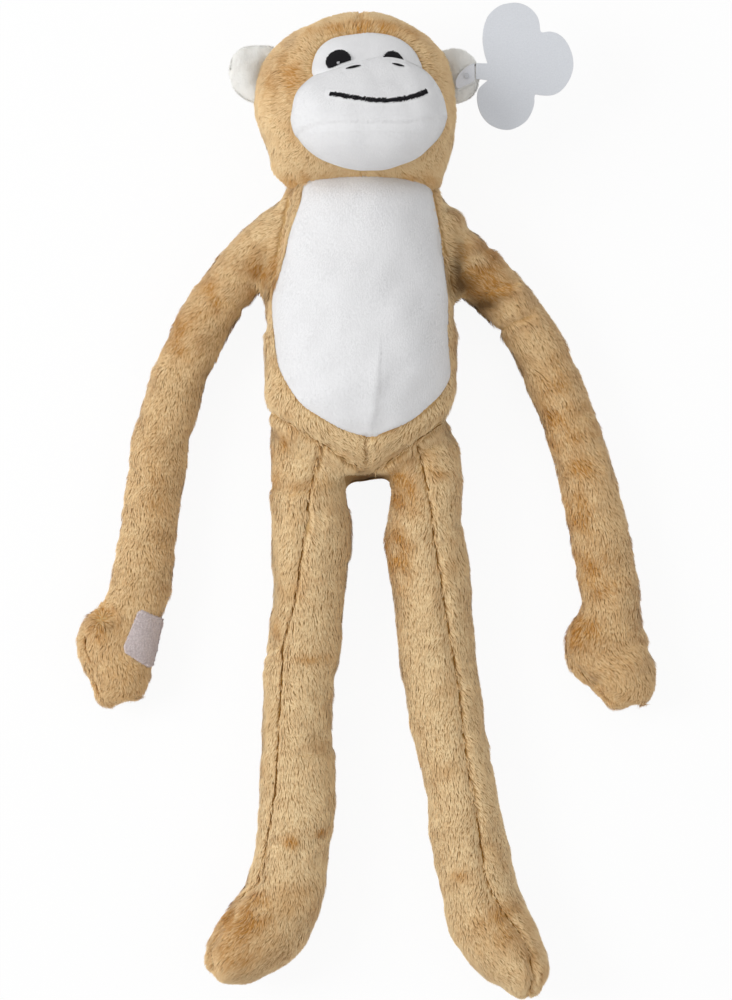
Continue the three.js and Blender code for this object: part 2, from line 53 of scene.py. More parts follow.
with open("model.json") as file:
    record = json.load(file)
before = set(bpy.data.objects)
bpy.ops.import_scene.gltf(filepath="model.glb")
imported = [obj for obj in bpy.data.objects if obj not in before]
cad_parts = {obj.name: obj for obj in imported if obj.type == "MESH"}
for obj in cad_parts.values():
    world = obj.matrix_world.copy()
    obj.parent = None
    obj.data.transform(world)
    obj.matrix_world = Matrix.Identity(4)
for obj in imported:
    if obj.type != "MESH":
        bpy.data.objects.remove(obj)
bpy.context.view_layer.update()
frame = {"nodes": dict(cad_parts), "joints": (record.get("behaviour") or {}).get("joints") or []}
MM = 0.001

# Where the joints turn, in millimetres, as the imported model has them
TURNS = {j["name"]: Vector(j["pos_m"]) / MM for j in frame["joints"]}
SIDES = ("right", "left")
# The middles of torso and head in x, and the height where the head is widest and bears its ears
MIDDLE = -2.5
HEAD_MIDDLE = -5.2
EAR_PLANE = 44
# Rays that look for a surface come down from this height
RAY_START = 300
# The least height of a skin above the floor, and the height under which strands are pressed flat
FLOOR_GAP = 0.25
PRESSED = 0.2
# On each arm the seam runs along the side as far as the wrist, and over the palm below it
WRIST = -58
# Steps of the cloth simulation that fills a skin
CLOTH_FRAMES = 14

# Rows of the stuffed forms, tip to tip: x, y, z of the middle, half width, rise, drop (millimetres)
TORSO = [
    (-1.7, 171, 34, 0, 0, 0), (-1.7, 160, 34, 33.5, 24, 24), (-1.8, 149, 34, 39, 31.6, 33),
    (-2.2, 139, 34, 40.5, 32.6, 33.8), (-2.5, 128, 34, 42.8, 33.6, 34), (-2.7, 113, 34, 45.4, 35.7, 34.4),
    (-2.8, 95, 34, 47.6, 38.2, 34.4), (-2.5, 80, 34, 47.5, 38.7, 34.4), (-2.7, 66, 34, 47.2, 38.4, 34.4),
    (-2.9, 53, 34, 46.4, 37, 34.4), (-2.7, 43, 34, 44.8, 34.2, 34), (-2.5, 33, 34, 41, 29, 32.5),
    (-2.5, 24, 33, 35, 22.5, 29.5), (-2.5, 17, 31, 26, 15.5, 24), (-2.5, 12.5, 29, 16, 10, 18),
    (-2.5, 8.6, 27, 0, 0, 0),
]
LIMBS = {
    "arm_right": [
        (-31, 141, 30, 0, 0), (-37.7, 136.5, 30, 11.8, 15), (-45.6, 131.5, 30, 11.6, 15.5),
        (-52.6, 126, 28, 11.8, 15.3), (-58.3, 119.4, 26, 11.8, 15), (-63.6, 111.7, 24, 12.8, 14.7),
        (-69.7, 103.9, 21.5, 13.7, 14.3), (-75.5, 96.5, 19.5, 13.7, 14), (-83.9, 83.1, 17.5, 13.2, 14),
        (-94.2, 60.1, 14.5, 13.8, 14), (-102.3, 31.8, 13.5, 14.2, 14), (-104.4, 18.5, 13.2, 14.7, 14),
        (-108.2, -5.9, 13, 13.9, 13.8), (-110.9, -33.1, 13, 15, 13.8), (-114.2, -47.6, 13.4, 15.4, 14.2),
        (-117.6, -55.3, 13.6, 14.7, 14.4), (-118.8, -61.6, 13.8, 15.6, 14.6), (-122.5, -67.4, 14, 18, 14.9),
        (-125.7, -73.9, 14.1, 19.9, 15), (-124.4, -81.9, 14.1, 16.9, 14.8), (-123.2, -90, 13.8, 14.9, 13.9),
        (-126, -96.8, 13.5, 11.2, 11), (-126.1, -100.3, 13.2, 7.7, 8), (-125.4, -101.6, 13.2, 0, 0),
    ],
    "arm_left": [
        (26, 138, 30, 0, 0), (33.6, 134.2, 30, 13.6, 15.5), (39.8, 127.3, 30, 12, 15.7),
        (47.6, 120.8, 28.5, 12.7, 15.5), (55.1, 112.6, 26, 13.6, 15), (62.7, 105.8, 24, 13.7, 14.7),
        (71, 98.5, 21.5, 12.5, 14.3), (85.5, 77, 17.5, 13.3, 14), (96.2, 54.6, 14.5, 13.5, 14),
        (106.2, 25.8, 13.5, 13.5, 14), (115.9, -10.9, 13, 14.7, 14), (120.8, -37.2, 13, 14.9, 14),
        (123.1, -49, 13.4, 14.1, 14.2), (122.3, -58.2, 13.8, 15.4, 14.5), (121.1, -65.1, 14, 18.4, 14.8),
        (120.2, -70.5, 14.2, 20.6, 15.2), (121, -75.8, 14.4, 21.2, 15.5), (124.9, -80.9, 14.4, 17.4, 15.4),
        (128.3, -87.1, 14.1, 17.7, 14.9), (130.3, -93.5, 13.8, 14.1, 13.8), (128, -99.3, 13.4, 9.7, 10.8),
        (129, -103.4, 13.2, 0, 0),
    ],
    "leg_right": [
        (-26, 54, 26, 0, 0), (-27.7, 44, 26, 13.7, 14), (-28.3, 33, 25.5, 17.5, 17.5), (-29.1, 20, 25, 18.4, 18.5),
        (-28.8, 7, 24, 18.4, 18.7), (-27.1, -16.9, 22, 19.8, 18.9), (-28.7, -36, 19.2, 18, 18.6),
        (-28.9, -55, 17.8, 17.1, 18), (-31.6, -74.9, 17.2, 18.3, 18), (-34.1, -94, 17, 16.4, 17.8),
        (-34.2, -134, 17.2, 18, 18), (-34.3, -155.1, 17.4, 18.7, 18.3), (-37, -173, 17.6, 18.1, 18.5),
        (-38.6, -185.1, 18, 18.9, 18.8), (-40.9, -197.9, 18.8, 19.4, 19.6), (-47, -209.2, 19.8, 20.5, 20.6),
        (-55.2, -218, 21, 19.6, 21.2), (-63.4, -225.8, 22, 16.6, 19.8), (-69.5, -231.7, 22.5, 13.1, 17),
        (-74.2, -237.6, 22.5, 0, 0),
    ],
    "leg_left": [
        (25.5, 52, 26, 0, 0), (27.8, 42.1, 26, 13.2, 14), (27, 31.9, 25.5, 14.8, 17.5), (28.8, 22, 25, 17.6, 18.2),
        (30.1, 6, 24, 17.1, 18.3), (29.8, -16.1, 21.8, 18.2, 18.5), (30.9, -31.1, 19.8, 20, 18.5),
        (34.1, -55, 18, 19, 18), (35.9, -82.1, 17.2, 18.6, 18), (40.1, -107, 17, 18.3, 17.9),
        (44, -130.1, 17, 17.1, 17.8), (49, -151.9, 17.2, 17.4, 18), (51.1, -170.2, 17.6, 19, 18.5),
        (55.8, -190.2, 18.4, 17.9, 19.3), (59.4, -205.2, 19.6, 19.4, 20.5), (63.8, -214.9, 20.6, 19.5, 21.2),
        (70.4, -224, 21.6, 18.3, 21.6), (76.9, -233.1, 22.3, 14.3, 20), (79, -241.7, 22.5, 9.5, 15),
        (79.5, -248.2, 22.5, 0, 0),
    ],
}
HEAD = [
    (-1.2, 237.6, 44, 0, 0), (-3.2, 231.2, 44, 24.4, 24.4), (-4.2, 225.2, 44, 35.3, 30.8),
    (-4.8, 218.3, 44, 41.8, 35.8),
    (-5, 211, 44, 45.4, 39.6), (-5.2, 203, 44, 47.7, 42.5), (-5.2, 191, 44, 48.6, 44), (-4.5, 182, 44, 47.4, 43.6),
    (-3.2, 173, 44, 45.2, 40.5), (-3.5, 167.5, 44, 43.9, 35.5), (-3.6, 163, 44, 42.2, 28.5), (-3, 158.5, 43, 39.8, 20),
    (-1.4, 153.5, 41.5, 36.2, 11), (-0.5, 147, 40, 0, 0),
]
MUZZLE = [
    (-35.2, 184.4), (-32.6, 194.6), (-24.4, 203), (-18, 206.6), (-7.4, 210.4), (1.4, 211.8), (9.6, 211.8),
    (18, 210), (25.2, 206.8), (31.6, 201), (36.4, 192.6), (38.2, 184.2), (36.4, 176), (31.6, 169.2),
    (23.9, 163), (13.4, 159.3), (1.4, 158), (-9.6, 158.6), (-20, 161.8), (-27, 166.6), (-32.3, 172.6),
    (-35.2, 178.7),
]
MUZZLE_MIDDLE = (1.2, 184)
MUZZLE_BASE = 78
# How far the muzzle rises above its base, by y
MUZZLE_RISE = [(156, 20.5), (161, 23.5), (167, 26), (173, 27.2), (181, 26.8), (188, 24.6), (196, 20.6), (204, 15.2),
               (213, 9)]
CHIN_SEAM = [(-37, 172.5), (-29, 175.4), (-20.2, 177.1), (-6.1, 177.3), (16.9, 177), (28, 178.8), (38.5, 182)]
# Seams that show, in plan, from the body outward
LEG_SEAMS = {
    "right": [(-21.8, 27), (-26.8, 7.9), (-30.7, -16.8), (-33.6, -39.5), (-38.3, -62), (-41, -69), (-42, -90),
              (-43.1, -112), (-45.2, -143), (-48.2, -163.3), (-52.3, -186), (-60.5, -196.5), (-68.8, -208.5),
              (-76, -222), (-75, -231)],
    "left": [(25, 27), (28.5, 14), (31, 2.3), (34.5, -25), (39.3, -54.7), (45.6, -92.6), (49.5, -128), (55, -158),
             (56.7, -170.3), (59, -185), (63.7, -196), (69.1, -204.8), (76, -214.2), (79.8, -222.3), (81.2, -232.3),
             (80.6, -243)],
}
HAND_SEAMS = {
    "right": [(-140.2, -67.5), (-139.8, -73.7), (-137.4, -81.2), (-136, -88.7), (-133.8, -95), (-131.5, -100)],
    "left": [(99.8, -66), (100.2, -74), (103, -81), (107.5, -86.5), (114, -91.5), (119.5, -97.5), (123, -101.5)],
}
CROTCH = 1.86
# Where the sewn body is parted: a point of each edge in plan, and the direction that leads into the limb
EDGES = {
    "hip_right": ((-28.5, 32), (-0.5425, -0.84)),
    "hip_left": ((28, 31), (0.58, -0.8146)),
    "shoulder_right": ((-41.5, 128), (-0.979, 0.204)),
    "shoulder_left": ((37, 128), (0.979, 0.204)),
    "crotch_right": ((CROTCH, 0), (-1, 0)),
    "crotch_left": ((CROTCH, 0), (1, 0)),
}
BELLY = [
    (2, 30), (-10.7, 33.4), (-21.6, 39), (-32, 46), (-39, 56.5), (-43.9, 67), (-46.2, 81.3), (-46.2, 97),
    (-43.9, 107.8), (-39.9, 123.4), (-35.5, 136.7), (-32, 147), (-29.6, 156), (-15, 160), (0, 161), (15, 160),
    (30.5, 156), (34, 144), (37.5, 128.3), (39.5, 112.8), (40.5, 96.9), (41, 81.3), (41.9, 65), (40.2, 56.6),
    (31.9, 44.8), (18.9, 35.9), (7.5, 31),
]
# The dart of the belly panel, from its point down to the panel's edge
DART = ((6.3, 70), (4.5, 50), (1.8, 31))
MASK = [
    (-25.8, 203), (-25, 212.4), (-20.5, 218.9), (-14, 222), (-3.3, 223.7), (6.2, 224), (14.2, 222.3),
    (21.2, 218.2), (25.8, 212.4), (27.3, 204), (18, 194), (0, 190), (-19, 194),
]
MASK_MIDDLE = (-0.4, 206)
# The upper and the lower edge of each eye; the muzzle cuts both off below
EYES = {
    "right": ([(-19.1, 208.4), (-18.7, 210.5), (-17.2, 212.4), (-14.2, 214.2), (-11.4, 214.2), (-8.7, 212.8),
               (-7.2, 210.6), (-7.3, 209)],
              [(-19.1, 206.9), (-17.8, 205), (-15.6, 205.3), (-13.3, 206.6), (-10.9, 207.6), (-7.3, 208.8)]),
    "left": ([(8.3, 210.9), (9.4, 212.8), (11.1, 214), (12.8, 214.3), (14.9, 213.8), (16.6, 212.2), (18, 209.7)],
             [(8.3, 210.6), (10.9, 210.6), (14.5, 210), (18, 209.2)]),
}
NOSTRILS = {"right": ((-9.3, 204.5), (-2.7, 206.1), 0.7), "left": ((12.7, 207.1), (17.9, 205.8), 0.66)}
SMILE = [(-16.9, 191.1), (-6.1, 188.8), (5.2, 187.4), (15.5, 188.1), (23.5, 190.2), (28.7, 193)]
SMILE_WIDTH = 2.3
# Each ear's middle, its half width and half height, and how far it swells forward
EARS = {"right": (-52.3, 208.9, 13.4, 13.7, 5.6), "left": (42.6, 207.9, 11.7, 12.3, 3.4)}
LOOP_PAD = [(-112.6, -54), (-101, -59.8), (-107.9, -84.5), (-121, -74.6)]
# The card's outline and the flap of its strap, from the middle of the fold between them
TAG = [
    (0.4, 4.6), (3.3, 4.6), (6.2, 4.6), (4.9, 8.3), (4, 12.7), (3.7, 16.6), (4.2, 22), (5.9, 26.9), (8.5, 30.3),
    (12.3, 33), (16.2, 34.2), (20.6, 34.6), (24.6, 33.7), (28, 31.6), (30.8, 28.4), (32, 24.9), (32.4, 21.4),
    (33.5, 20.4), (36.9, 20.9), (40.8, 20.1), (44.3, 17.6), (46.9, 13.7), (48.5, 9.3), (49, 4.9), (48.2, 0.5),
    (46.2, -3.9), (43, -7.8), (39.8, -9.8), (36.4, -10.5), (32.4, -10.4), (30.1, -10.1), (29.5, -11.4), (29.4, -14.7),
    (28, -19.1), (25.6, -23), (22.1, -25.7), (18.2, -27.4), (14.7, -27.7), (10.8, -26.9), (6.8, -24.9), (3.6, -21.5),
    (1.6, -17.1), (0.9, -12.2), (1.6, -8.3), (3.6, -5.9), (6.2, -3.7), (3.3, -3.3), (0.4, -3.2),
]
FLAP = [(-0.3, -3.9), (-0.3, 4.3), (-1.8, 4.2), (-4.9, 2.2), (-7.9, -0.7), (-9.5, -4.1), (-9.3, -7.1), (-7.9, -8),
        (-1.6, -4.7)]
# Thickness of the card, in millimetres like all lengths here
CARD_THICK = 0.6
# The whorl of the nap on each hand: x, y and strength
WHORLS = {"right": (-132, -60, 1.6), "left": (110, -62, 0.7)}
# Small bulges and dents of this one toy: x, y, reach, and how far the skin moves out there
FOLDS = [(8, -20, 7, 2.0), (-44, 33, 6, 0.9), (66, 124, 6, 0.8), (-9, -27, 8, 0.8), (-46, -68, 6, -0.7),
         (-21, -96, 7, 0.8), (100, 30, 8, 0.6), (-136, -62, 6, 0.8), (30, 36, 6, 0.9), (-30, 36, 6, 0.9),
         (44, 139, 5, 1.2)]
# Creases: their line, how deep and how wide they are
CREASES = [
    ([(55, 99), (61, 104), (72, 107)], 1.4, 2.4), ([(66, 85), (72, 89), (80, 92)], 1.5, 2.2),
    ([(46, 120), (55, 122), (62, 126)], 0.9, 2.8), ([(-57, 93), (-64, 98), (-71, 99)], 1.1, 2.4),
    ([(-50, 104), (-58, 110), (-66, 112)], 0.8, 2.8), ([(-47, 8), (-38, 4), (-30, 5)], 0.8, 2.6),
    ([(-11, -30), (-19, -33), (-26, -32)], 0.6, 2.2), ([(50, -8), (42, -13), (36, -13)], 0.6, 2.4),
    ([(-17, -122), (-25, -125), (-33, -124)], 0.7, 2.2), ([(-49, -76), (-44, -71), (-39, -70)], 0.9, 1.8),
    ([(21, -62), (28, -66), (35, -65)], 0.6, 2.4), ([(14, 28), (22, 24), (33, 27)], 0.8, 2.6),
]
# Soft oval spots, each with x, y, half width, half height and strength. These were stroked the other way
RUBBED = [
    (-37.5, -166.5, 4, 3, 1.2), (-22.5, -162, 3.5, 2, 0.8), (47.5, -184, 5, 4, 0.9), (18, 7, 9, 13, 1.1),
    (15, -22, 8, 9, 1), (-40, 29, 8, 8, 0.8), (-49, 112, 9, 13, 1.1), (52, 116, 12, 14, 1), (62, 104, 10, 7, 0.8),
    (-34, 3, 6, 10, 0.5), (-90, 84, 8, 12, 0.7), (17, -38, 7, 11, 0.6), (-43.5, -62, 3.5, 6, 0.5),
    (-130, -60, 6, 6, 0.9), (-60, -204, 11, 8, 0.95), (-51, -197, 5, 6, 0.6), (-62, -220, 12, 10, 0.35),
    (66, -208, 14, 11, 0.8), (78, -224, 6, 8, 0.5), (-75, 103, 6, 8, 0.7), (106, -64, 8, 8, 1), (-27, -76, 9, 3, 0.7),
    (36, 14, 6, 3, 0.5), (-22, 8, 6, 5, 0.5), (-46, 10, 5, 12, 0.5), (106, 8, 8, 40, 0.55), (92, 48, 8, 26, 0.55),
    (116, -35, 9, 14, 0.5), (-104, 0, 6, 40, 0.3), (56, -232, 10, 6, 0.2), (30, 22, 6, 6, 0.4),
]
# Painted shade: the hands and right foot, a shade darker all over, where less light falls
PAINTED_END_SHADE = [(122, -80, 18, 30, 0.2), (-122, -80, 18, 30, 0.2), (-62, -218, 28, 20, 0.36)]
# The depths of folds, where hardly any light comes in
FOLD_SHADE = [
    (0.6, 10.5, 12, 3.6, 0.9), (43, 118, 3.4, 13, 0.62), (45.5, 107, 6, 6, 0.55), (56.5, 98.5, 6, 2.8, 0.75),
    (62, 102, 6, 1.8, 0.3), (50, 115, 9, 12, 0.16), (-47.5, 112, 4, 11, 0.2), (-50, 101, 4, 5, 0.25),
    (-129, -60.5, 4, 3, 0.25),
]
# Stroked places of the head: above the mask and on the right cheek
HEAD_RUBBED = [(-2, 224.5, 26, 3.5, 1), (-37, 203, 10, 10, 0.8)]
# Strands of each kind of skin, as a share of the torso's number
STRAND_SHARE = {"torso": 1.15, "leg": 1.45, "arm": 1.2}
# Studio lamps: place and size in metres, and power in watts
LAMPS = {"key": ((-1.15, 0.16, 1.05), 0.8, 11.4), "fill": ((1.4, -0.3, 1.5), 1.6, 3.3),
         "top": ((-0.2, 1.2, 1.8), 1.2, 2.5)}
# The camera's distance from the limbs, their height, and the picture's height at that distance, in millimetres
CAMERA_DISTANCE = 1350
LIMB_HEIGHT = 18
PICTURE_HEIGHT = 500
SENSOR = 36


def length(name, description, value):
    """A length that the panel shows, given in millimetres."""
    return FloatProperty(name=name, description=description, default=value * MM, unit="LENGTH", subtype="DISTANCE")


def colour(name, place, value):
    return StringProperty(name=name, description=f"sRGB colour of {place}", default=value)


class PlushSizes(PropertyGroup):
    pile: length("Tan pile", "Length of the brushed tan pile", 4.1)
    strand: length("Strand", "Width of one drawn strand of the tan pile", 0.5)
    minky: length("White pile", "Length of the short white pile", 1.1)
    weave: length("Voxel", "Cell of the sewn body's remeshed skin", 3)
    pressure: FloatProperty(name="Filling", description="Pressure of the filling against the skin", default=4.0)
    seam: length("Seam depth", "How far a seam pulls the skin in", 1.3)
    thread: length("Thread", "Thickness of the embroidery thread", 0.45)
    strands: IntProperty(name="Strands", description="Strands of tan pile on the torso", default=50000, min=1000)


class PlushColours(PropertyGroup):
    tip: colour("Tan tips", "the pile's tips", "#FAE1B2")
    root: colour("Tan roots", "the pile's roots", "#A87A3A")
    patch: colour("Rubbed patches", "places where the nap lies the other way", "#C88E42")
    deep: colour("Deep folds", "places that hardly any light reaches", "#5E3F17")
    white: colour("White pile", "face and belly", "#EFEFF0")
    cream: colour("Ear pile", "the ears", "#FDFCF8")
    thread: colour("Embroidery", "the stitched features", "#0F0E11")
    tape: colour("Loop tape", "the hand tapes", "#EADEDD")
    card: colour("Tag card", "the blank tag", "#E7EAEF")


# Smooth curves and fields, in millimetres

def catmull(points, t):
    """Points of a smooth curve through rows of `points`, at places t from 0 to the last row."""
    p = np.asarray(points, float)
    t = np.clip(np.asarray(t, float), 0, len(p) - 1)
    i = np.minimum(t.astype(int), len(p) - 2)
    f = (t - i)[:, None]
    a, b, c, d = p[np.maximum(i - 1, 0)], p[i], p[i + 1], p[np.minimum(i + 2, len(p) - 1)]
    a = np.where((i == 0)[:, None], 2 * b - c, a)
    d = np.where((i == len(p) - 2)[:, None], 2 * c - b, d)
    return 0.5 * (2 * b + (c - a) * f + (2 * a - 5 * b + 4 * c - d) * f ** 2 + (3 * b - a - 3 * c + d) * f ** 3)


def curve(points, count):
    """A smooth curve through all the points, as `count` points."""
    return catmull(points, np.linspace(0, len(points) - 1, count))


def closed_curve(points, count):
    """A smooth closed curve through the points, in `count` equal steps."""
    p = np.asarray(points, float)
    n = len(p)
    dense = catmull(np.vstack([p[-1:], p, p[:2]]), np.linspace(1, n + 1, n * 24 + 1))
    steps = np.r_[0, np.cumsum(np.linalg.norm(np.diff(dense, axis=0), axis=1))]
    places = np.linspace(0, steps[-1], count, endpoint=False)
    return np.stack([np.interp(places, steps, dense[:, k]) for k in range(dense.shape[1])], axis=1)


def along_ring(outline, place):
    """Points of a closed outline at places that count its corners."""
    ring = np.vstack([outline, outline[:1]])
    i = np.minimum(place.astype(int), len(outline) - 1)
    f = (place - i)[:, None]
    return ring[i] * (1 - f) + ring[i + 1] * f


def drawn_in(outline, centre, distance):
    """An outline moved towards its middle by about `distance`."""
    away = np.asarray(outline) - np.asarray(centre)
    return np.asarray(outline) - away * (distance / np.linalg.norm(away, axis=1))[:, None]


def unit(rows, least=1e-6):
    """Vectors made one long, apart from those shorter than `least`, which stay shorter."""
    return rows / np.maximum(np.linalg.norm(rows, axis=1), least)[:, None]


def sides_of(line):
    """The direction of a line in plan at each of its points, and the direction across it."""
    ahead = unit(np.gradient(line, axis=0))
    return ahead, np.c_[-ahead[:, 1], ahead[:, 0]]


def bell(distance, width):
    """A smooth hill, 1 at distance 0, that falls off over `width`."""
    return np.exp(-(distance / width) ** 2)


def spots(points, table):
    """The sum of oval bells in plan, from rows of x, y, half width, half height and strength."""
    return sum(much * np.exp(-((points[:, 0] - x) / wide) ** 2 - ((points[:, 1] - y) / tall) ** 2)
               for x, y, wide, tall, much in table)


def waves(points, size, seed, stretch=(1, 1, 1)):
    """A smooth seeded field from -1 to 1 whose hills are about `size` millimetres wide."""
    rng = np.random.default_rng(seed)
    scaled = np.asarray(points) * np.asarray(stretch)
    total = 0
    for _ in range(7):
        turn = rng.normal(size=3)
        turn *= rng.uniform(0.7, 1.35) * math.pi / (size * np.linalg.norm(turn))
        total = total + np.cos(scaled @ turn + rng.uniform(0, 2 * math.pi))
    return np.clip(total / 3.2, -1, 1)


def flat_waves(plan, size, seed):
    return waves(np.c_[plan, plan[:, 0] * 0], size, seed)


def near_path(points, path):
    """Distance in plan from each point to a path of (x, y), and the path's direction there."""
    path = np.asarray(path, float)
    best = np.full(len(points), 1e9)
    along = np.zeros((len(points), 2))
    for a, b in zip(path[:-1], path[1:]):
        line = b - a
        t = np.clip(((points[:, :2] - a) @ line) / (line @ line), 0, 1)
        d = np.linalg.norm(points[:, :2] - (a + t[:, None] * line), axis=1)
        closer = d < best
        best[closer] = d[closer]
        along[closer] = line / np.linalg.norm(line)
    return best, along


def inside(points, outline):
    """Which points lie inside a closed outline of (x, y)."""
    x, y = points[:, 0], points[:, 1]
    hit = np.zeros(len(points), bool)
    ring = np.asarray(outline, float)
    for (ax, ay), (bx, by) in zip(ring, np.roll(ring, -1, axis=0)):
        if ay != by:
            hit ^= ((ay > y) != (by > y)) & (x < (bx - ax) * (y - ay) / (by - ay) + ax)
    return hit


# Meshes

def placed(name, mesh, body=None, material=None, smooth=True):
    """Makes a piece of a mesh, with its material and the body that it rides on."""
    obj = bpy.data.objects.new(name, mesh)
    bpy.context.scene.collection.objects.link(obj)
    mesh.polygons.foreach_set("use_smooth", [smooth] * len(mesh.polygons))
    if material:
        mesh.materials.append(material)
    if body:
        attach(obj, body)
    return obj


def finished(name, bm, body=None, material=None, smooth=True, scale=MM):
    """Makes a piece of a bmesh, which is in millimetres unless `scale` says otherwise."""
    bmesh.ops.scale(bm, vec=(scale,) * 3, verts=bm.verts)
    mesh = bpy.data.meshes.new(name)
    bm.to_mesh(mesh)
    bm.free()
    return placed(name, mesh, body, material, smooth)


def opened(obj, scale=1):
    bm = bmesh.new()
    bm.from_mesh(obj.data)
    bmesh.ops.scale(bm, vec=(scale,) * 3, verts=bm.verts)
    return bm


def read(rows, key, kind=float):
    """One property of three numbers for every element of a mesh."""
    values = np.empty(len(rows) * 3, kind)
    rows.foreach_get(key, values)
    return values.reshape(-1, 3)


def points_of(obj):
    return read(obj.data.vertices, "co") / MM


def normals_of(obj):
    return read(obj.data.vertex_normals, "vector")


def move_points(obj, points):
    obj.data.vertices.foreach_set("co", (np.asarray(points) * MM).ravel())
    obj.data.update()


def unit_grid(bm, across, along):
    """A flat grid, with each vertex's share of the way across and along it."""
    grid = bmesh.ops.create_grid(bm, x_segments=across, y_segments=along, size=0.5)["verts"]
    co = np.array([v.co for v in grid])
    return grid, co[:, 0] + 0.5, co[:, 1] + 0.5


def rolled(bm, grid, points):
    """Moves a grid's vertices to their places and closes it where they meet."""
    for v, place in zip(grid, points):
        v.co = place
    bmesh.ops.remove_doubles(bm, verts=grid, dist=0.01)
    bmesh.ops.recalc_face_normals(bm, faces=bm.faces)


def facing(bm, way):
    """Turns a sheet over if it looks away from `way`."""
    if sum(f.normal.dot(way) for f in bm.faces) < 0:
        bmesh.ops.reverse_faces(bm, faces=bm.faces)


def loft(bm, rows, around, along, level=False):
    """A closed form through rows of ellipses, square to its line or level, with smooth tips."""
    grid, u, t = unit_grid(bm, around, along)
    turn = u * 2 * math.pi
    s = np.array([row if len(row) == 6 else (*row, row[4]) for row in rows], float)
    n = len(s) - 1
    place = n * (t - 0.93 * np.sin(2 * math.pi * t) / (2 * math.pi))
    line = catmull(s[:, :3], place)
    size = np.sqrt(np.maximum(catmull(s[:, 3:] ** 2, place), 0))
    ahead = catmull(s[:, :2], np.minimum(place + 0.02, n)) - catmull(s[:, :2], np.maximum(place - 0.02, 0))
    ahead = np.array([[0.0, -1.0]] * len(u)) if level else unit(ahead)
    across = size[:, 0] * np.cos(turn)
    up = np.where(np.sin(turn) > 0, size[:, 1], size[:, 2]) * np.sin(turn)
    rolled(bm, grid, np.c_[line[:, 0] + ahead[:, 1] * across, line[:, 1] - ahead[:, 0] * across, line[:, 2] + up])


def pillow(bm, outline, centre, base, rise, under, flat, turn=115, rings=60):
    """A cushion over an outline: a grid rolled about its middle, risen by `rise(y)` above and tucked in below."""
    grid, u, t = unit_grid(bm, len(outline), rings)
    edge = along_ring(outline, u * len(outline))
    lean = t * math.radians(turn)
    wide, high = np.sin(lean) ** flat, np.sign(np.cos(lean)) * np.abs(np.cos(lean)) ** flat
    plan = np.asarray(centre) + (edge - np.asarray(centre)) * wide[:, None]
    rolled(bm, grid, np.c_[plan, base + high * np.where(high > 0, rise(plan[:, 1]), under)])


def surface(obj):
    """A tree for casting rays at a piece, in millimetres."""
    bm = opened(obj, 1 / MM)
    tree = BVHTree.FromBMesh(bm)
    bm.free()
    return tree


def rays_down(tree, plan):
    """The highest place of a form under each (x, y) and its normal there, or twice None."""
    return [tree.ray_cast(Vector((x, y, RAY_START)), Vector((0, 0, -1)))[:2] for x, y in plan]


def drop(tree, plan):
    """Heights of the highest surface under each (x, y), and nan where there is none."""
    return np.array([hit.z if hit else np.nan for hit, _ in rays_down(tree, plan)])


def patch(name, tree, outline, centre, height, rings, bulge, body, material):
    """A sewn panel laid over a form: `height` gives its rise off the form from its middle (0) to its edge (1)."""
    bm = bmesh.new()
    grid, u, t = unit_grid(bm, len(outline), rings)
    r = np.clip(t, 0, 1) ** bulge
    edge = along_ring(outline, u * len(outline))
    plan = np.asarray(centre) + (edge - np.asarray(centre)) * r[:, None]
    hits = rays_down(tree, plan)
    low = min(hit.z for hit, _ in hits if hit)
    rolled(bm, grid, [hit + out * up if hit else (*place, low + up)
                      for (hit, out), place, up in zip(hits, plan, height(r, plan))])
    facing(bm, Vector((0, 0, 1)))
    return finished(name, bm, body, material)


def apply_modifiers(obj):
    mesh = bpy.data.meshes.new_from_object(obj.evaluated_get(bpy.context.evaluated_depsgraph_get()))
    obj.modifiers.clear()
    old = obj.data
    obj.data = mesh
    mesh.name = obj.name
    bpy.data.meshes.remove(old)
    mesh.polygons.foreach_set("use_smooth", [True] * len(mesh.polygons))


def remeshed(obj, cell, soften):
    """Makes one even skin of the forms in a piece and softens it."""
    cells = obj.modifiers.new("Skin", "REMESH")
    cells.mode = "VOXEL"
    cells.voxel_size = cell
    smooth = obj.modifiers.new("Soften", "SMOOTH")
    smooth.factor = 0.5
    smooth.iterations = soften
    apply_modifiers(obj)


def stuffed(obj, seams, pressure, cap):
    """Fills a closed skin: a cloth with pressure inside, held at its seams, that swells by `cap` at most."""
    group = obj.vertex_groups.new(name="seams")
    for i in np.flatnonzero(seams > 0.02):
        group.add([int(i)], float(seams[i]), "REPLACE")
    cloth = obj.modifiers.new("Filling", "CLOTH")
    for key, value in dict(quality=4, mass=0.2, tension_stiffness=12, compression_stiffness=12, shear_stiffness=6,
                           bending_stiffness=0.8, use_pressure=True, uniform_pressure_force=pressure,
                           vertex_group_mass="seams").items():
        setattr(cloth.settings, key, value)
    cloth.settings.effector_weights.gravity = 0
    cloth.collision_settings.use_collision = False
    scene = bpy.context.scene
    cloth.point_cache.frame_start, cloth.point_cache.frame_end = 1, CLOTH_FRAMES
    for number in range(1, CLOTH_FRAMES + 1):
        scene.frame_set(number)
    before = points_of(obj)
    swollen = obj.evaluated_get(bpy.context.evaluated_depsgraph_get()).to_mesh()
    move = read(swollen.vertices, "co") / MM - before
    obj.modifiers.clear()
    obj.vertex_groups.clear()
    size = np.linalg.norm(move, axis=1)
    move *= (np.minimum(size, cap) / np.maximum(size, 1e-6))[:, None]
    move_points(obj, before + np.nan_to_num(move))
    scene.frame_set(1)


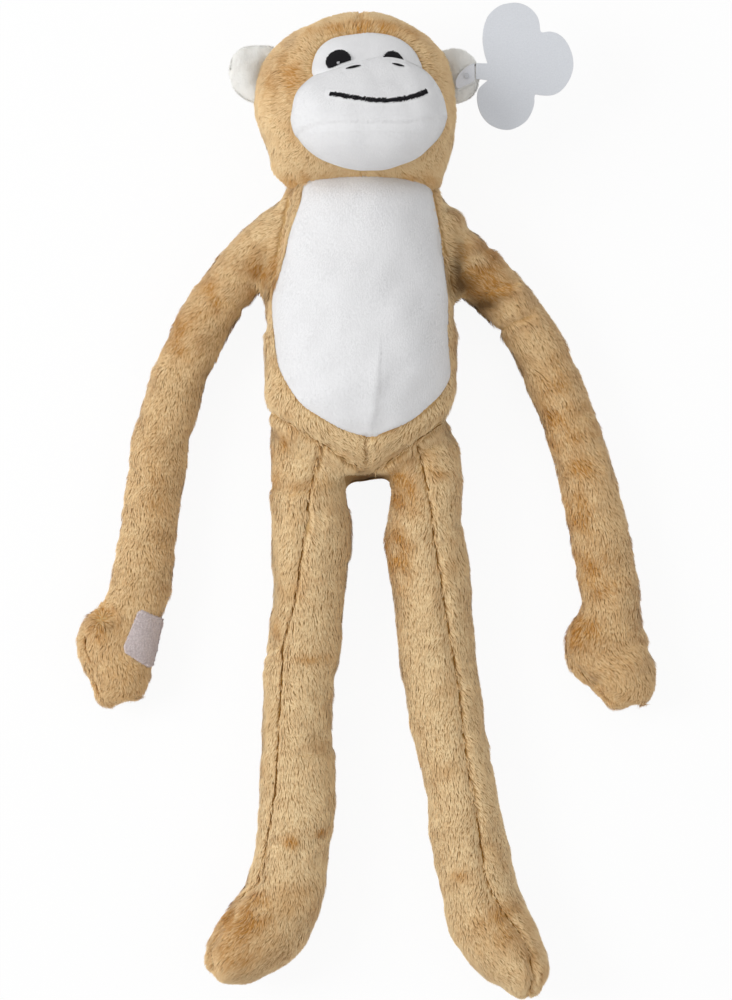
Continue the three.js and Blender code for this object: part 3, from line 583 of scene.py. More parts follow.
def sewn(points, normals, d, depth):
    """Pulls a skin in along its seams, with small puckers, and rumples the rest a little."""
    groove = bell(d, 1.5) * depth + bell(d, 5) * 0.35 * depth
    pucker = 0.4 * waves(points, 5, 71) * bell(d, 6)
    folds = 0.55 * waves(points, 17, 72, (0.8, 1.25, 0.8)) + 0.25 * waves(points, 8, 73)
    for x, y, reach, push in FOLDS:
        folds = folds + push * np.exp(-((points[:, 0] - x) ** 2 + (points[:, 1] - y) ** 2) / reach ** 2)
    for line, deep, wide in CREASES:
        folds = folds - deep * bell(near_path(points, line)[0], wide)
    return points + normals * (folds + pucker - groove)[:, None]


def sewn_form(name, bm, distance, soften, cap, depth):
    """A form with one filled skin drawn in at its seams, its points, and the normals that they moved along."""
    s = bpy.context.scene.plush_sizes
    obj = finished(name, bm)
    remeshed(obj, s.weave, soften)
    stuffed(obj, bell(distance(points_of(obj)), 2.5), s.pressure, cap)
    finer = obj.modifiers.new("Finer", "SUBSURF")
    finer.levels = finer.render_levels = 1
    apply_modifiers(obj)
    points, normals = points_of(obj), normals_of(obj)
    return obj, sewn(points, normals, distance(points), depth), normals


def sink(points, outline, under, beside):
    """Lowers a skin where a panel is set in: all that lies under the panel, and less beside its edge."""
    rim = near_path(points, outline)[0]
    points[:, 2] -= np.where(inside(points, outline) & under, 1.3, 1.2 * bell(rim, 2) * beside)


# Pile

def strand_shape():
    """One strand of pile, one long and one wide: a strip that rises from its root, bends over and comes to a point."""
    bm = bmesh.new()
    bmesh.ops.create_grid(bm, x_segments=1, y_segments=2, size=0.5)
    for v in bm.verts:
        t = v.co.y + 0.5
        v.co = (v.co.x * (1 - 0.15 * t) * (t < 0.9), t, 0.55 * t - 0.27 * t * t - 0.05)
    bmesh.ops.remove_doubles(bm, verts=bm.verts, dist=0.001)
    bm.normal_update()
    facing(bm, Vector((0, 0, 1)))
    verts = np.array([v.co for v in bm.verts])
    faces = [[v.index for v in f.verts] for f in bm.faces]
    bm.free()
    return verts, faces


def paint(mesh, values):
    """Stores height (raised on the sides for painted rim light), chance, stroked patches with painted shade, and
    painted fold shade: the four things that the pile's materials read.
    """
    mesh.color_attributes.new("Nap", "FLOAT_COLOR", "POINT").data.foreach_set("color", values.ravel())


def combed(spread, middle, y, z=0.0):
    """A nap that lies along y and spreads a little from a middle line."""
    return lambda root, normal: np.c_[(root[:, 0] - middle) * spread, np.full(len(root), y), np.full(len(root), z)]


def grown(name, base, count, size, width, flow, body=None, material=None, keep=None, *, seed, lift=1.0, clump=2.3,
          tidy=0.24, shade=None, deep=None):
    """Grows pile over a skin: `flow` gives the nap's direction at each root and `keep` the share that grows there."""
    rng = np.random.default_rng(seed)
    base.data.calc_loop_triangles()
    tri = read(base.data.loop_triangles, "vertices", np.int32)
    co, no = points_of(base), normals_of(base)
    a, b, c = (co[tri[:, k]] for k in range(3))
    total = np.cumsum(np.linalg.norm(np.cross(b - a, c - a), axis=1) / 2)
    pick = np.searchsorted(total, (np.arange(count) + rng.random(count)) / count * total[-1])
    u, v = rng.random(count), rng.random(count)
    over = u + v > 1
    u[over], v[over] = 1 - u[over], 1 - v[over]
    corners = tri[np.minimum(pick, len(tri) - 1)].T
    shares = [s[:, None] for s in (1 - u - v, u, v)]
    root = sum(co[corner] * s for corner, s in zip(corners, shares))
    normal = unit(sum(no[corner] * s for corner, s in zip(corners, shares)))
    if keep is not None:
        stay = keep(root, normal) > rng.random(count)
        root, normal = root[stay], normal[stay]
    n = len(root)
    nap = flow(root, normal)
    nap = unit(nap - np.sum(nap * normal, axis=1)[:, None] * normal)
    side = np.cross(nap, normal)
    sway = 0.3 * waves(root, 11, seed + 5) + 0.2 * waves(root, 4, seed + 6) + rng.normal(0, 0.11, n)
    nap, side = (nap * np.cos(sway)[:, None] + side * np.sin(sway)[:, None],
                 side * np.cos(sway)[:, None] - nap * np.sin(sway)[:, None])
    # Strands lean together in locks, so that gaps show between them; each lock's four numbers are hashed from its cell
    cell = np.floor(root / clump + rng.random(3))
    key = cell @ np.array([127.1, 311.7, 74.7])
    lock = np.stack([np.modf(np.abs(np.sin(key + k) * 43758.5453))[0] for k in (0, 17, 31, 47)], axis=1)
    lean = (cell + 0.15 + 0.7 * lock[:, :3]) * clump - root
    lean -= np.sum(lean * normal, axis=1)[:, None] * normal
    long = size / MM * (0.85 + 0.3 * rng.random(n)) * (1 + 0.12 * waves(root, 12, seed + 7))
    wide = width / MM * (0.75 + 0.5 * rng.random(n))
    stroked = shade(root) if shade else np.zeros(n)
    rise = lift * (0.8 + 0.4 * lock[:, 3]) * (1 + 0.15 * waves(root, 6, seed + 8)) * (1 + 0.25 * stroked)
    shape, faces = strand_shape()
    k = len(shape)
    x, y, z = shape.T
    points = (root[:, None, :] + side[:, None, :] * (x * wide[:, None])[:, :, None]
              + nap[:, None, :] * (y * long[:, None])[:, :, None]
              + normal[:, None, :] * (z * (long * rise)[:, None])[:, :, None]
              + lean[:, None, :] * (tidy * y[None, :] ** 2)[:, :, None])
    # The floor presses flat what would poke through it
    high = points[:, :, 2]
    points[:, :, 2] = np.where(high < PRESSED, PRESSED * np.exp(np.minimum(high - PRESSED, 0)), high)
    mesh = bpy.data.meshes.new(name)
    mesh.vertices.add(n * k)
    mesh.vertices.foreach_set("co", (points * MM).astype(np.float32).ravel())
    loops = (np.arange(n)[:, None] * k + np.concatenate(faces)[None, :]).ravel()
    mesh.loops.add(len(loops))
    mesh.loops.foreach_set("vertex_index", loops.astype(np.int32))
    sizes = np.tile([len(f) for f in faces], n)
    mesh.polygons.add(len(sizes))
    mesh.polygons.foreach_set("loop_start", np.r_[0, np.cumsum(sizes)[:-1]].astype(np.int32))
    mesh.update(calc_edges=True)
    values = np.zeros((n, k, 4), np.float32)
    # Painted rim light: pile on the sides, facing away from up, takes the colour of its pale tips all along and loses
    # its random darker tone
    painted_rim_light = 0.85 * np.clip(1 - normal[:, 2] / 0.6, 0, 1)
    values[:, :, 0] = y[None, :] + (1 - y[None, :]) * painted_rim_light[:, None]
    values[:, :, 1] = ((0.55 * rng.random(n) + 0.45 * lock[:, 3]) * (1 - painted_rim_light))[:, None]
    # Stroked patches and painted shade, as `shade` gives them
    values[:, :, 2] = np.clip(stroked * rng.uniform(0.45, 1.35, n), 0, 1)[:, None]
    # Painted fold shade
    values[:, :, 3] = (deep(root) if deep else np.zeros(n))[:, None]
    paint(mesh, values)
    return placed(name, mesh, body, material)


# Materials

def linear(value):
    """An sRGB hex value as the linear colour that a shader reads."""
    channels = [int(value[i:i + 2], 16) / 255 for i in (1, 3, 5)]
    return tuple(c / 12.92 if c <= 0.04045 else ((c + 0.055) / 1.055) ** 2.4 for c in channels) + (1.0,)


def add(tree, kind, settings=None, **links):
    """Adds a node, sets its properties and sockets, and links what is given as an output socket."""
    node = tree.nodes.new(kind)
    for key, value in (settings or {}).items():
        setattr(node, key, value)
    for key, value in links.items():
        socket = node.inputs[int(key[1:]) if key[0] == "i" and key[1:].isdigit() else key.replace("_", " ")]
        if isinstance(value, bpy.types.NodeSocket):
            tree.links.new(value, socket)
        else:
            socket.default_value = value
    return node


def maths(tree, operation, first, second):
    return add(tree, "ShaderNodeMath", {"operation": operation}, i0=first, i1=second).outputs[0]


def mixed(tree, share, first, second):
    """A mix of two colours, each a socket or an sRGB hex value."""
    first, second = (linear(c) if isinstance(c, str) else c for c in (first, second))
    return add(tree, "ShaderNodeMix", {"data_type": "RGBA"}, i0=share, i6=first, i7=second).outputs[2]


def share_of(tree, value, low, high):
    """Where a value lies between two others, from 0 to 1."""
    return add(tree, "ShaderNodeMapRange", Value=value, From_Min=low, From_Max=high).outputs["Result"]


def new_material(name):
    """A material with an empty tree, and the coordinates of the object that bears it."""
    material = bpy.data.materials.new(name)
    material.use_nodes = True
    tree = material.node_tree
    tree.nodes.clear()
    return material, tree, add(tree, "ShaderNodeTexCoord").outputs["Object"]


def shaded(tree, base, **sockets):
    """Ends a tree in one surface of a base colour."""
    bsdf = add(tree, "ShaderNodeBsdfPrincipled", Base_Color=base, **sockets)
    add(tree, "ShaderNodeOutputMaterial", Surface=bsdf.outputs[0])


def tan_pile_material(c, name, base=False):
    """Brushed polyester plush: pale tips over orange-brown roots, so every gap between locks reads darker; the dark
    roots are partly the pile's own tone and partly painted shade between the strands.
    """
    material, tree, place = new_material(name)
    nap = add(tree, "ShaderNodeAttribute", {"attribute_name": "Nap"})
    if base:
        # The knitted ground between the strands, about a millimetre of grain, in the dark root tone, which is partly
        # painted shade of the gaps
        grain = add(tree, "ShaderNodeTexNoise", Vector=place, Scale=900.0, Detail=2.0).outputs["Fac"]
        lit = mixed(tree, grain, c.root, "#DDBD87")
    else:
        drift = add(tree, "ShaderNodeTexNoise", Vector=place, Scale=42.0, Detail=2.0).outputs["Fac"]
        patches = maths(tree, "MULTIPLY", share_of(tree, drift, 0.56, 0.74), 0.35)
        strand = add(tree, "ShaderNodeSeparateColor", Color=nap.outputs["Color"]).outputs
        shaded_root_to_tip = mixed(tree, share_of(tree, strand["Red"], 0.0, 0.58), c.root, c.tip)
        varied = mixed(tree, maths(tree, "MULTIPLY", strand["Green"], 0.36), shaded_root_to_tip, c.patch)
        lit = mixed(tree, maths(tree, "MAXIMUM", strand["Blue"], patches), varied, c.patch)
    # Painted shade: the Alpha channel darkens folds towards the deep colour
    shaded(tree, mixed(tree, nap.outputs["Alpha"], lit, c.deep), Roughness=0.75, Sheen_Weight=0.12,
           Sheen_Roughness=0.5, Specular_IOR_Level=0.25)
    return material


def mottled(name, first, second, texture, kind="ShaderNodeTexNoise", raised=None, stretch=None, share=None, **sockets):
    """A material of two tones that follow one texture, which also raises it by `raised`: strength and distance."""
    material, tree, place = new_material(name)
    if stretch:
        place = add(tree, "ShaderNodeMapping", Vector=place, Scale=stretch).outputs["Vector"]
    field = add(tree, kind, Vector=place, **texture).outputs[0]
    tone = maths(tree, "MULTIPLY", field, share) if share else field
    if raised:
        sockets["Normal"] = add(tree, "ShaderNodeBump", Height=field, Strength=raised[0], Distance=raised[1]).outputs[0]
    shaded(tree, mixed(tree, tone, first, second), **sockets)
    return material


# Materials by their short names
made = {}


def materials():
    """The materials by their short names, made at the first call."""
    if made:
        return made
    c = bpy.context.scene.plush_colours
    made["tan"] = tan_pile_material(c, "brushed_tan_plush")
    made["ground"] = tan_pile_material(c, "knitted_tan_ground", base=True)
    # Short smooth polyester pile: nearly white, with faint brushed streaks a few millimetres long
    short = dict(texture=dict(Scale=1.0, Detail=3.0), raised=(0.25, 0.0004), stretch=(1400, 260, 900), share=0.12,
                 Roughness=0.85, Sheen_Roughness=0.5, Specular_IOR_Level=0.2)
    made["white"] = mottled("short_white_pile", c.white, "#C9C9CC", Sheen_Weight=0.15, **short)
    # The ears' pile is softer and catches more light at its rim
    made["cream"] = mottled("cream_ear_pile", c.cream, "#F6F4EE", Sheen_Weight=0.7, **short)
    # Trilobal embroidery thread: black with a soft shine along each stitch, and one white glint in an eye
    twisted = dict(texture=dict(Scale=2600.0, Detail=1.0), raised=(0.3, 0.0001), Roughness=0.65,
                   Specular_IOR_Level=0.15)
    made["thread"] = mottled("satin_stitch_thread", c.thread, "#1D1B1F", **twisted)
    made["spark"] = mottled("white_eye_stitch", "#EDEDF0", "#1D1B1F", **twisted)
    # Painted shade of the slit between two sewn edges, with its brown thread
    made["seam"] = mottled("seam_slit_and_thread", "#79541F", "#976E34", dict(Scale=500.0, Detail=1.0), Roughness=0.9,
                           Specular_IOR_Level=0.1)
    # Napped nylon loop tape, mauve grey, mottled by its loops about a millimetre apart
    made["tape"] = mottled("napped_loop_tape", c.tape, "#D2C5C4", dict(Scale=900.0), "ShaderNodeTexVoronoi",
                           (0.5, 0.0004), share=1.25, Roughness=0.8, Sheen_Weight=0.2)
    # Smooth coated card, with a paper tooth too fine to see but for a slight break in its shine
    coated = dict(texture=dict(Scale=1500.0, Detail=3.0), raised=(0.15, 0.0001), Roughness=0.55)
    made["card"] = mottled("blank_coated_card", c.card, "#D6D9DF", **coated)
    # The strap's folded end shows the card's other side
    made["fold"] = mottled("card_fold_underside", "#E9EAEE", "#D6D9DF", **coated)
    # Clear polypropylene of the tag's fastener, milky where it is thick
    made["plastic"] = mottled("clear_fastener_plastic", "#E4E6EA", "#C9CCD2", dict(Scale=800.0), Roughness=0.25,
                              Alpha=0.85)
    return made


# The sewn body

def beyond(points, edge):
    """How far each point lies past a sewn edge, on the limb's side of it."""
    (px, py), (nx, ny) = EDGES[edge]
    return (points[:, 0] - px) * nx + (points[:, 1] - py) * ny


def edge_line(edge, low, high):
    """The straight run of a sewn edge in plan, from one distance along it to another."""
    (px, py), (nx, ny) = EDGES[edge]
    return [(px - ny * t, py + nx * t) for t in np.linspace(low, high, 8)]


def seam_distance(points):
    """Distance of each point of the sewn body to its nearest seam."""
    x, y, z = points.T
    d = np.full(len(points), 1e9)

    def nearer(which, distances):
        d[which] = np.minimum(d[which], distances)

    torso = np.ones(len(points), bool)
    arms = {side: beyond(points, f"shoulder_{side}") for side in SIDES}
    trunk = (arms["right"] < 0) & (arms["left"] < 0)
    for side, sign in (("right", -1), ("left", 1)):
        own = sign * (x - CROTCH) > 0
        hip = beyond(points, f"hip_{side}")
        leg = own & (hip > 0) & trunk
        arm = arms[side] > 0
        torso &= ~leg & ~arm
        near = own & trunk & (y > -30)
        nearer(near, np.abs(hip[near]))
        near = np.abs(y - 128) < 45
        nearer(near, np.abs(arms[side][near]))
        front = leg & (z > 14)
        nearer(front, near_path(points[front], curve(LEG_SEAMS[side], 60))[0])
        # An arm's seam runs along its side, and comes into sight on the hand
        hand = arm & (y < WRIST) & (z > 11)
        nearer(hand, near_path(points[hand], catmull(HAND_SEAMS[side], np.linspace(0, 4, 24)))[0])
        rest = arm & (y >= WRIST)
        line = catmull(np.array(LIMBS[f"arm_{side}"])[:, :3], np.linspace(0, 15, 90))
        nearest = np.argmin(((points[rest][:, None, :2] - line[None, :, :2]) ** 2).sum(axis=2), axis=1)
        nearer(rest, np.abs(z[rest] - line[nearest, 2]) + 0.3)
    centre = torso & ((z < 34) | (y < 32))
    nearer(centre, np.abs(x[centre] - 0.5))
    return d


def limb_flow(limb):
    """The nap of a limb lies along it; on a leg it leaves the front seam slantwise, on a hand it turns in a whorl."""
    kind, side = limb.split("_")
    path = curve(np.array(LIMBS[limb])[:, :2], 60)
    seam = curve(LEG_SEAMS[side], 40)
    *whorl, strength = WHORLS[side]

    def flow(root, normal):
        out = np.zeros_like(root)
        out[:, :2] = near_path(root, path)[1]
        if kind == "leg":
            i = np.argmin(np.abs(root[:, 1][:, None] - seam[None, :, 1]), axis=1)
            away = root[:, 0] - seam[i, 0]
            out[:, 0] += np.sign(away) * np.exp(-np.abs(away) / 9) * 0.35 * (normal[:, 2] > 0)
        else:
            away = root[:, :2] - whorl
            far = np.linalg.norm(away, axis=1)
            out[:, :2] += unit(away, 1) * (strength * bell(far, 11))[:, None]
        out[:, 2] -= 0.1
        return out
    return flow


def torso_flow(root, normal):
    """Downward at the sides, slantwise towards the middle seam below the belly."""
    low = np.clip((48 - root[:, 1]) / 20, 0, 1)
    return np.c_[np.sign(root[:, 0] - MIDDLE) * (0.25 - low), np.full(len(root), -1.0), np.full(len(root), -0.15)]


def head_flow(root, normal):
    """Outward from the face, and down at the cheeks and chin."""
    return np.c_[unit(root[:, :2] - (-1.0, 193.0), 1) - (0, 0.5), np.full(len(root), -0.35)]


def stroked_and_painted_shade(root):
    """Where the nap was stroked the other way and shows its darker, more orange side; the arms get some of that tone
    all over, and the hands and right foot get painted shade.
    """
    streaks = 0.7 + 0.5 * waves(root, 7, 81, (1.5, 0.8, 1))
    arms = 0.2 * np.clip((np.abs(root[:, 0]) - 50) / 15, 0, 1) * np.clip((root[:, 1] + 120) / 10, 0, 1)
    return np.clip(1.15 * spots(root, RUBBED) * streaks + (arms + spots(root, PAINTED_END_SHADE)), 0, 0.9)


def folded(root):
    """How much painted shade a place gets, lying deep in a fold."""
    return np.clip(spots(root, FOLD_SHADE) * (0.95 + 0.2 * waves(root, 4, 82)), 0, 0.85)


def napped(skin, deep=None):
    """Paints a skin's ground with the same fold shade as its pile."""
    values = np.zeros((len(skin.data.vertices), 4), np.float32)
    if deep:
        values[:, 3] = deep(points_of(skin))
    paint(skin.data, values)


def part_of(body, name, cuts):
    """The part of the sewn body that is left when each named edge has cut off its one side."""
    bm = opened(body)
    for edge, torso_stays in cuts:
        (px, py), (nx, ny) = EDGES[edge]
        bmesh.ops.bisect_plane(bm, geom=bm.verts[:] + bm.edges[:] + bm.faces[:], dist=1e-4,
                               plane_co=(px * MM, py * MM, 0), plane_no=(nx, ny, 0), clear_outer=torso_stays,
                               clear_inner=not torso_stays)
    return finished(name, bm, material=materials()["ground"], scale=1)


def slits(skin, tree, paths, wide=0.44):
    """Lays a thin dark tube along each seam's path into a skin, sunk in the surface: its brown thread, and painted
    shade of the slit between the sewn edges.
    """
    bm = opened(skin)
    for k, path in enumerate(paths):
        fine = curve(path, len(path) * 40)
        run = np.r_[0, np.cumsum(np.linalg.norm(np.diff(fine, axis=0), axis=1))]
        count = max(int(run[-1] / 0.9), 4)
        line = np.stack([np.interp(np.linspace(0, run[-1], count + 1), run, fine[:, i]) for i in (0, 1)], axis=1)
        across = sides_of(line)[1]
        flat = np.c_[line, np.zeros(len(line))]
        line = line + across * (0.3 * waves(flat, 4, 60 + k))[:, None]
        z = drop(tree, line)
        shown = np.flatnonzero(~np.isnan(z))
        span = slice(shown[0], shown[-1] + 1)
        z = np.interp(np.arange(len(z)), shown, z[shown])[span]
        line, across, flat, count = line[span], across[span], flat[span], len(z) - 1
        thick = wide * (1 + 0.3 * waves(flat, 2.5, 61 + k))
        grid, u, t = unit_grid(bm, 6, count)
        for v, turn, place in zip(grid, u * 2 * math.pi, t):
            i = min(int(round(place * count)), count)
            r = thick[i] * (0 < i < count)
            x, y = line[i] + across[i] * math.cos(turn) * r
            v.co = Vector((x, y, z[i] + 0.1 + 1.3 * r * math.sin(turn))) * MM
        for f in {f for v in grid for f in v.link_faces}:
            f.material_index = 1
            f.smooth = True
        bmesh.ops.remove_doubles(bm, verts=grid, dist=0.00001)
    bm.to_mesh(skin.data)
    bm.free()
    skin.data.materials.append(materials()["seam"])


class PLUSH_OT_body(Operator):
    """Sews torso, arms and legs as one filled skin, parts it at its seams and grows its pile"""
    bl_idname = "plush.body"
    bl_label = "Body and limbs"

    def execute(self, context):
        s, m = context.scene.plush_sizes, materials()
        bm = bmesh.new()
        loft(bm, TORSO, 56, 80)
        for rows in LIMBS.values():
            loft(bm, rows, 40, 120)
        body, points, normals = sewn_form("sewn_body", bm, seam_distance, 4, 1.0, s.seam / MM)
        belly = closed_curve(BELLY, 90)
        bib_ground = drawn_in(belly, (0, 95), 1.6)
        sink(points, belly, normals[:, 2] > 0, normals[:, 2] > 0.1)
        # The seat shows as a low shaded strip between the legs
        seat = np.clip((14.8 - points[:, 1]) / 2.5, 0, 1) * np.clip((points[:, 1] + 6) / 6, 0, 1)
        seat *= np.exp(-(np.abs(points[:, 0] - 0.8) / 10.5) ** 6) * np.clip((points[:, 2] - 22) / 8, 0, 1)
        points[:, 2] = np.maximum(points[:, 2] - 11 * seat, FLOOR_GAP)
        move_points(body, points)

        cuts = {"torso": [(edge, True) for edge in ("hip_right", "hip_left", "shoulder_right", "shoulder_left")]}
        for side in SIDES:
            cuts[f"leg_{side}"] = [(f"hip_{side}", False), (f"shoulder_{side}", True), (f"crotch_{side}", False)]
        for side in SIDES:
            cuts[f"arm_{side}"] = [(f"shoulder_{side}", False)]
        skins = {limb: part_of(body, "_skin_".join(limb.split("_")) if limb in LIMBS else "torso_skin", edges)
                 for limb, edges in cuts.items()}
        for skin in skins.values():
            napped(skin, folded)
        tree = surface(body)
        slits(skins["torso"], tree, [edge_line("hip_right", -12, 31), edge_line("hip_left", -31, 12),
                                     [(0.5, 31), (0.6, 24), (0.8, 14)]], 0.24)
        for side in SIDES:
            slits(skins[f"leg_{side}"], tree, [LEG_SEAMS[side]])
            slits(skins[f"arm_{side}"], tree, [HAND_SEAMS[side]])

        def grows(root, normal):
            # No pile under the belly panel and over the seat's lower rim, and half of it on the side that lies down
            bare = inside(root, bib_ground) & (normal[:, 2] > 0)
            bare |= (np.abs(root[:, 0] - 0.6) < 11) & (np.abs(root[:, 1] - 5.3) < 8.2) & (root[:, 2] > 12)
            return np.where(bare, 0, np.where(normal[:, 2] < -0.35, 0.5, 1)) * (seam_distance(root) > 0.15)

        def shade(root):
            # Stroked patches, painted shade on the hands and right foot, and painted shade along every seam
            return np.maximum(stroked_and_painted_shade(root), 0.2 * bell(seam_distance(root), 0.8))

        piles = {}
        for k, (limb, skin) in enumerate(skins.items()):
            piles[limb] = grown(skin.name.replace("skin", "pile"), skin,
                                int(s.strands * STRAND_SHARE[limb.split("_")[0]]), s.pile, s.strand,
                                torso_flow if limb == "torso" else limb_flow(limb), material=m["tan"], keep=grows,
                                lift=0.98, seed=11 + 10 * k, shade=shade, deep=folded)
        bpy.data.objects.remove(body)

        for limb, skin in skins.items():
            for piece in (skin, piles[limb]):
                if limb == "torso":
                    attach(piece, "torso")
                else:
                    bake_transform(piece)
        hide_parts("torso_panel_right", "torso_panel_left", "torso_filling")
        for side in SIDES:
            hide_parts(f"arm_front_panel_{side}", f"arm_back_panel_{side}",
                        f"arm_filling_{side}")
            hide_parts(f"leg_outer_panel_{side}", f"leg_inner_panel_{side}",
                        f"leg_filling_{side}")
        return {"FINISHED"}


class PLUSH_OT_belly(Operator):
    """Lays the white belly panel into the torso, with its dart, and grows its short pile"""
    bl_idname = "plush.belly"
    bl_label = "Belly panel"

    def execute(self, context):
        white = materials()["white"]

        def height(r, plan):
            puff = 2.8 * (1 - r ** 2) + 1.4 * (1 - r ** 9) - 0.9 * (r > 0.985)
            # The dart pinches the cloth into a ridge that falls off sharply on one side
            line = np.array(DART)[::-1]
            past = plan[:, 0] - np.interp(plan[:, 1], line[:, 1], line[:, 0])
            depth = np.clip((80 - plan[:, 1]) / 22, 0, 1) * np.clip((1 - r) / 0.12, 0, 1)
            ridge = 1.9 * np.exp(-np.abs(past) / np.where(past < 0, 9, 2.6)) - 0.5 * bell(past - 0.8, 0.7)
            return puff + 0.45 * flat_waves(plan, 15, 91) + depth * ridge

        panel = patch("belly_skin", surface(bpy.data.objects["torso_skin"]), closed_curve(BELLY, 150), (1, 98), height,
                      44, 0.85, "torso", white)
        pile = grown("belly_pile", panel, 26000, context.scene.plush_sizes.minky, 0.42 * MM, combed(0.004, 0, -1.0),
                     "torso", white, lift=0.4, seed=301, clump=1.6, tidy=0.12)
        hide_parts("belly_panel")
        return {"FINISHED"}


# The head

def stitched(points):
    """Which points lie under the embroidery, where no pile grows."""
    hit = near_path(points, curve(SMILE, 40))[0] < SMILE_WIDTH / 2 + 1.2
    x, y = points[:, 0], points[:, 1]
    for top, low in EYES.values():
        hit |= ((x > top[0][0] - 0.8) & (x < top[-1][0] + 0.8) & (y > np.interp(x, *np.transpose(low)) - 0.5)
                & (y < np.interp(x, *np.transpose(top)) + 0.8))
    for a, b, wide in NOSTRILS.values():
        hit |= near_path(points, [a, b])[0] < wide + 0.9
    return hit


def crown_seam(points):
    """Distance to the seam that halves the head, open above the mask and down the back."""
    return np.where((points[:, 1] > 222.5) | (points[:, 2] < EAR_PLANE), np.abs(points[:, 0] + 3), 99.0)


class PLUSH_OT_head(Operator):
    """Makes the head, its face mask and muzzle, and grows their pile"""
    bl_idname = "plush.head"
    bl_label = "Head and face"

    def execute(self, context):
        s, m = context.scene.plush_sizes, materials()
        bm = bmesh.new()
        loft(bm, HEAD, 72, 80, level=True)
        head, points, normals = sewn_form("head_skin", bm, crown_seam, 3, 0.8, 0.45 * s.seam / MM)
        mask = closed_curve(MASK, 120)
        front = normals[:, 2] > 0.15
        sink(points, mask, front, front)
        points[:, 2] = np.maximum(points[:, 2], FLOOR_GAP)
        move_points(head, points)
        head.data.materials.append(m["ground"])
        napped(head)

        def brow_height(r, plan):
            return 1.9 * (1 - r ** 8) - 0.8 * (r > 0.98) + 0.3 * flat_waves(plan, 12, 92)

        brow = patch("face_mask_skin", surface(head), mask, MASK_MIDDLE, brow_height, 26, 0.85, "head", m["white"])
        rises = np.array(MUZZLE_RISE, float).T
        muzzle_plan = closed_curve(MUZZLE, 120)
        mask_ground, muzzle_ground = drawn_in(mask, MASK_MIDDLE, 1.6), drawn_in(muzzle_plan, MUZZLE_MIDDLE, 3.5)
        bm = bmesh.new()
        pillow(bm, muzzle_plan, MUZZLE_MIDDLE, MUZZLE_BASE, lambda y: np.interp(y, *rises), 12, 0.76)
        muzzle = finished("muzzle_skin", bm, "head", m["white"])
        points, normals = points_of(muzzle), normals_of(muzzle)
        d = near_path(points, CHIN_SEAM)[0]
        above = points[:, 1] > np.interp(points[:, 0], *np.array(CHIN_SEAM, float).T)
        front = np.clip((points[:, 2] - 70) / 10, 0, 1)
        # The upper panel swells over the chin seam, which gathers in fine upright puckers
        lap = np.where(above, 0.32 * bell(d - 1.6, 2), -0.2 * bell(d, 3)) + 0.1 * bell(d, 0.7)
        pucker = 0.06 * np.sin(points[:, 0] * 2.4 + 2 * waves(points, 9, 90)) * bell(d, 2)
        swell = 0.4 * waves(points, 16, 93) + 0.15 * waves(points, 6, 94)
        move_points(muzzle, points + normals * ((lap + pucker) * front + swell)[:, None])

        def grows(root, normal):
            hidden = (inside(root, mask_ground) | inside(root, muzzle_ground)) & (normal[:, 2] > 0)
            return np.where(hidden, 0, np.where(normal[:, 2] < -0.35, 0.5, 1) * (crown_seam(root) > 0.15))

        def shade(root):
            chin = 0.5 * bell(root[:, 1] - 157, 3)
            streaks = 0.7 + 0.5 * waves(root, 7, 95, (1.4, 0.8, 1))
            # Painted shade along the crown seam
            seam = 0.55 * bell(crown_seam(root), 1.3)
            return np.clip(0.14 + np.maximum((spots(root, HEAD_RUBBED) + chin) * streaks, seam), 0, 0.8)

        pile = grown("head_pile", head, 58000, s.pile, s.strand, head_flow, "head", m["tan"], grows, seed=401,
                     shade=shade)
        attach(head, "head")
        white = dict(body="head", material=m["white"], lift=0.4, clump=1.5, tidy=0.12)
        muzzle_pile = grown("muzzle_pile", muzzle, 22000, s.minky, 0.34 * MM, combed(0.02, 1, -1.0, -0.2),
                            keep=lambda root, normal: (root[:, 2] > 70) & ~stitched(root), seed=402, **white)
        brow_pile = grown("face_mask_pile", brow, 6000, s.minky, 0.34 * MM, combed(0.02, 1, 1.0),
                          keep=lambda root, normal: ~stitched(root), seed=403, **white)
        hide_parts("head_panel_right", "head_panel_left", "head_filling")
        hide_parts("face_mask")
        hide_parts("muzzle_upper_panel", "muzzle_chin_panel")
        return {"FINISHED"}


def stitches(bm, tree, starts, ends, thick, rise, steps=4):
    """Threads laid side by side from each start to each end over a surface, each a rounded strip."""
    for a, b in zip(np.asarray(starts, float), np.asarray(ends, float)):
        line = [a + (b - a) * t for t in np.linspace(0, 1, steps + 1)]
        z = drop(tree, line)
        if np.isnan(z).any():
            continue
        across = np.array([-(b - a)[1], (b - a)[0]]) / max(np.linalg.norm(b - a), 1e-6) * thick / 2
        for v, u, t in zip(*unit_grid(bm, 3, steps)):
            u = 2 * u - 1
            k = min(int(round(t * steps)), steps)
            round_off = math.sqrt(max(1 - (0.86 * u) ** 2, 0))
            drawn = math.sin(math.pi * t) ** 0.35 if 0 < t < 1 else 0.0
            v.co = (*(line[k] + across * u), z[k] + rise * (0.25 + 0.75 * drawn) + thick * 0.5 * round_off)


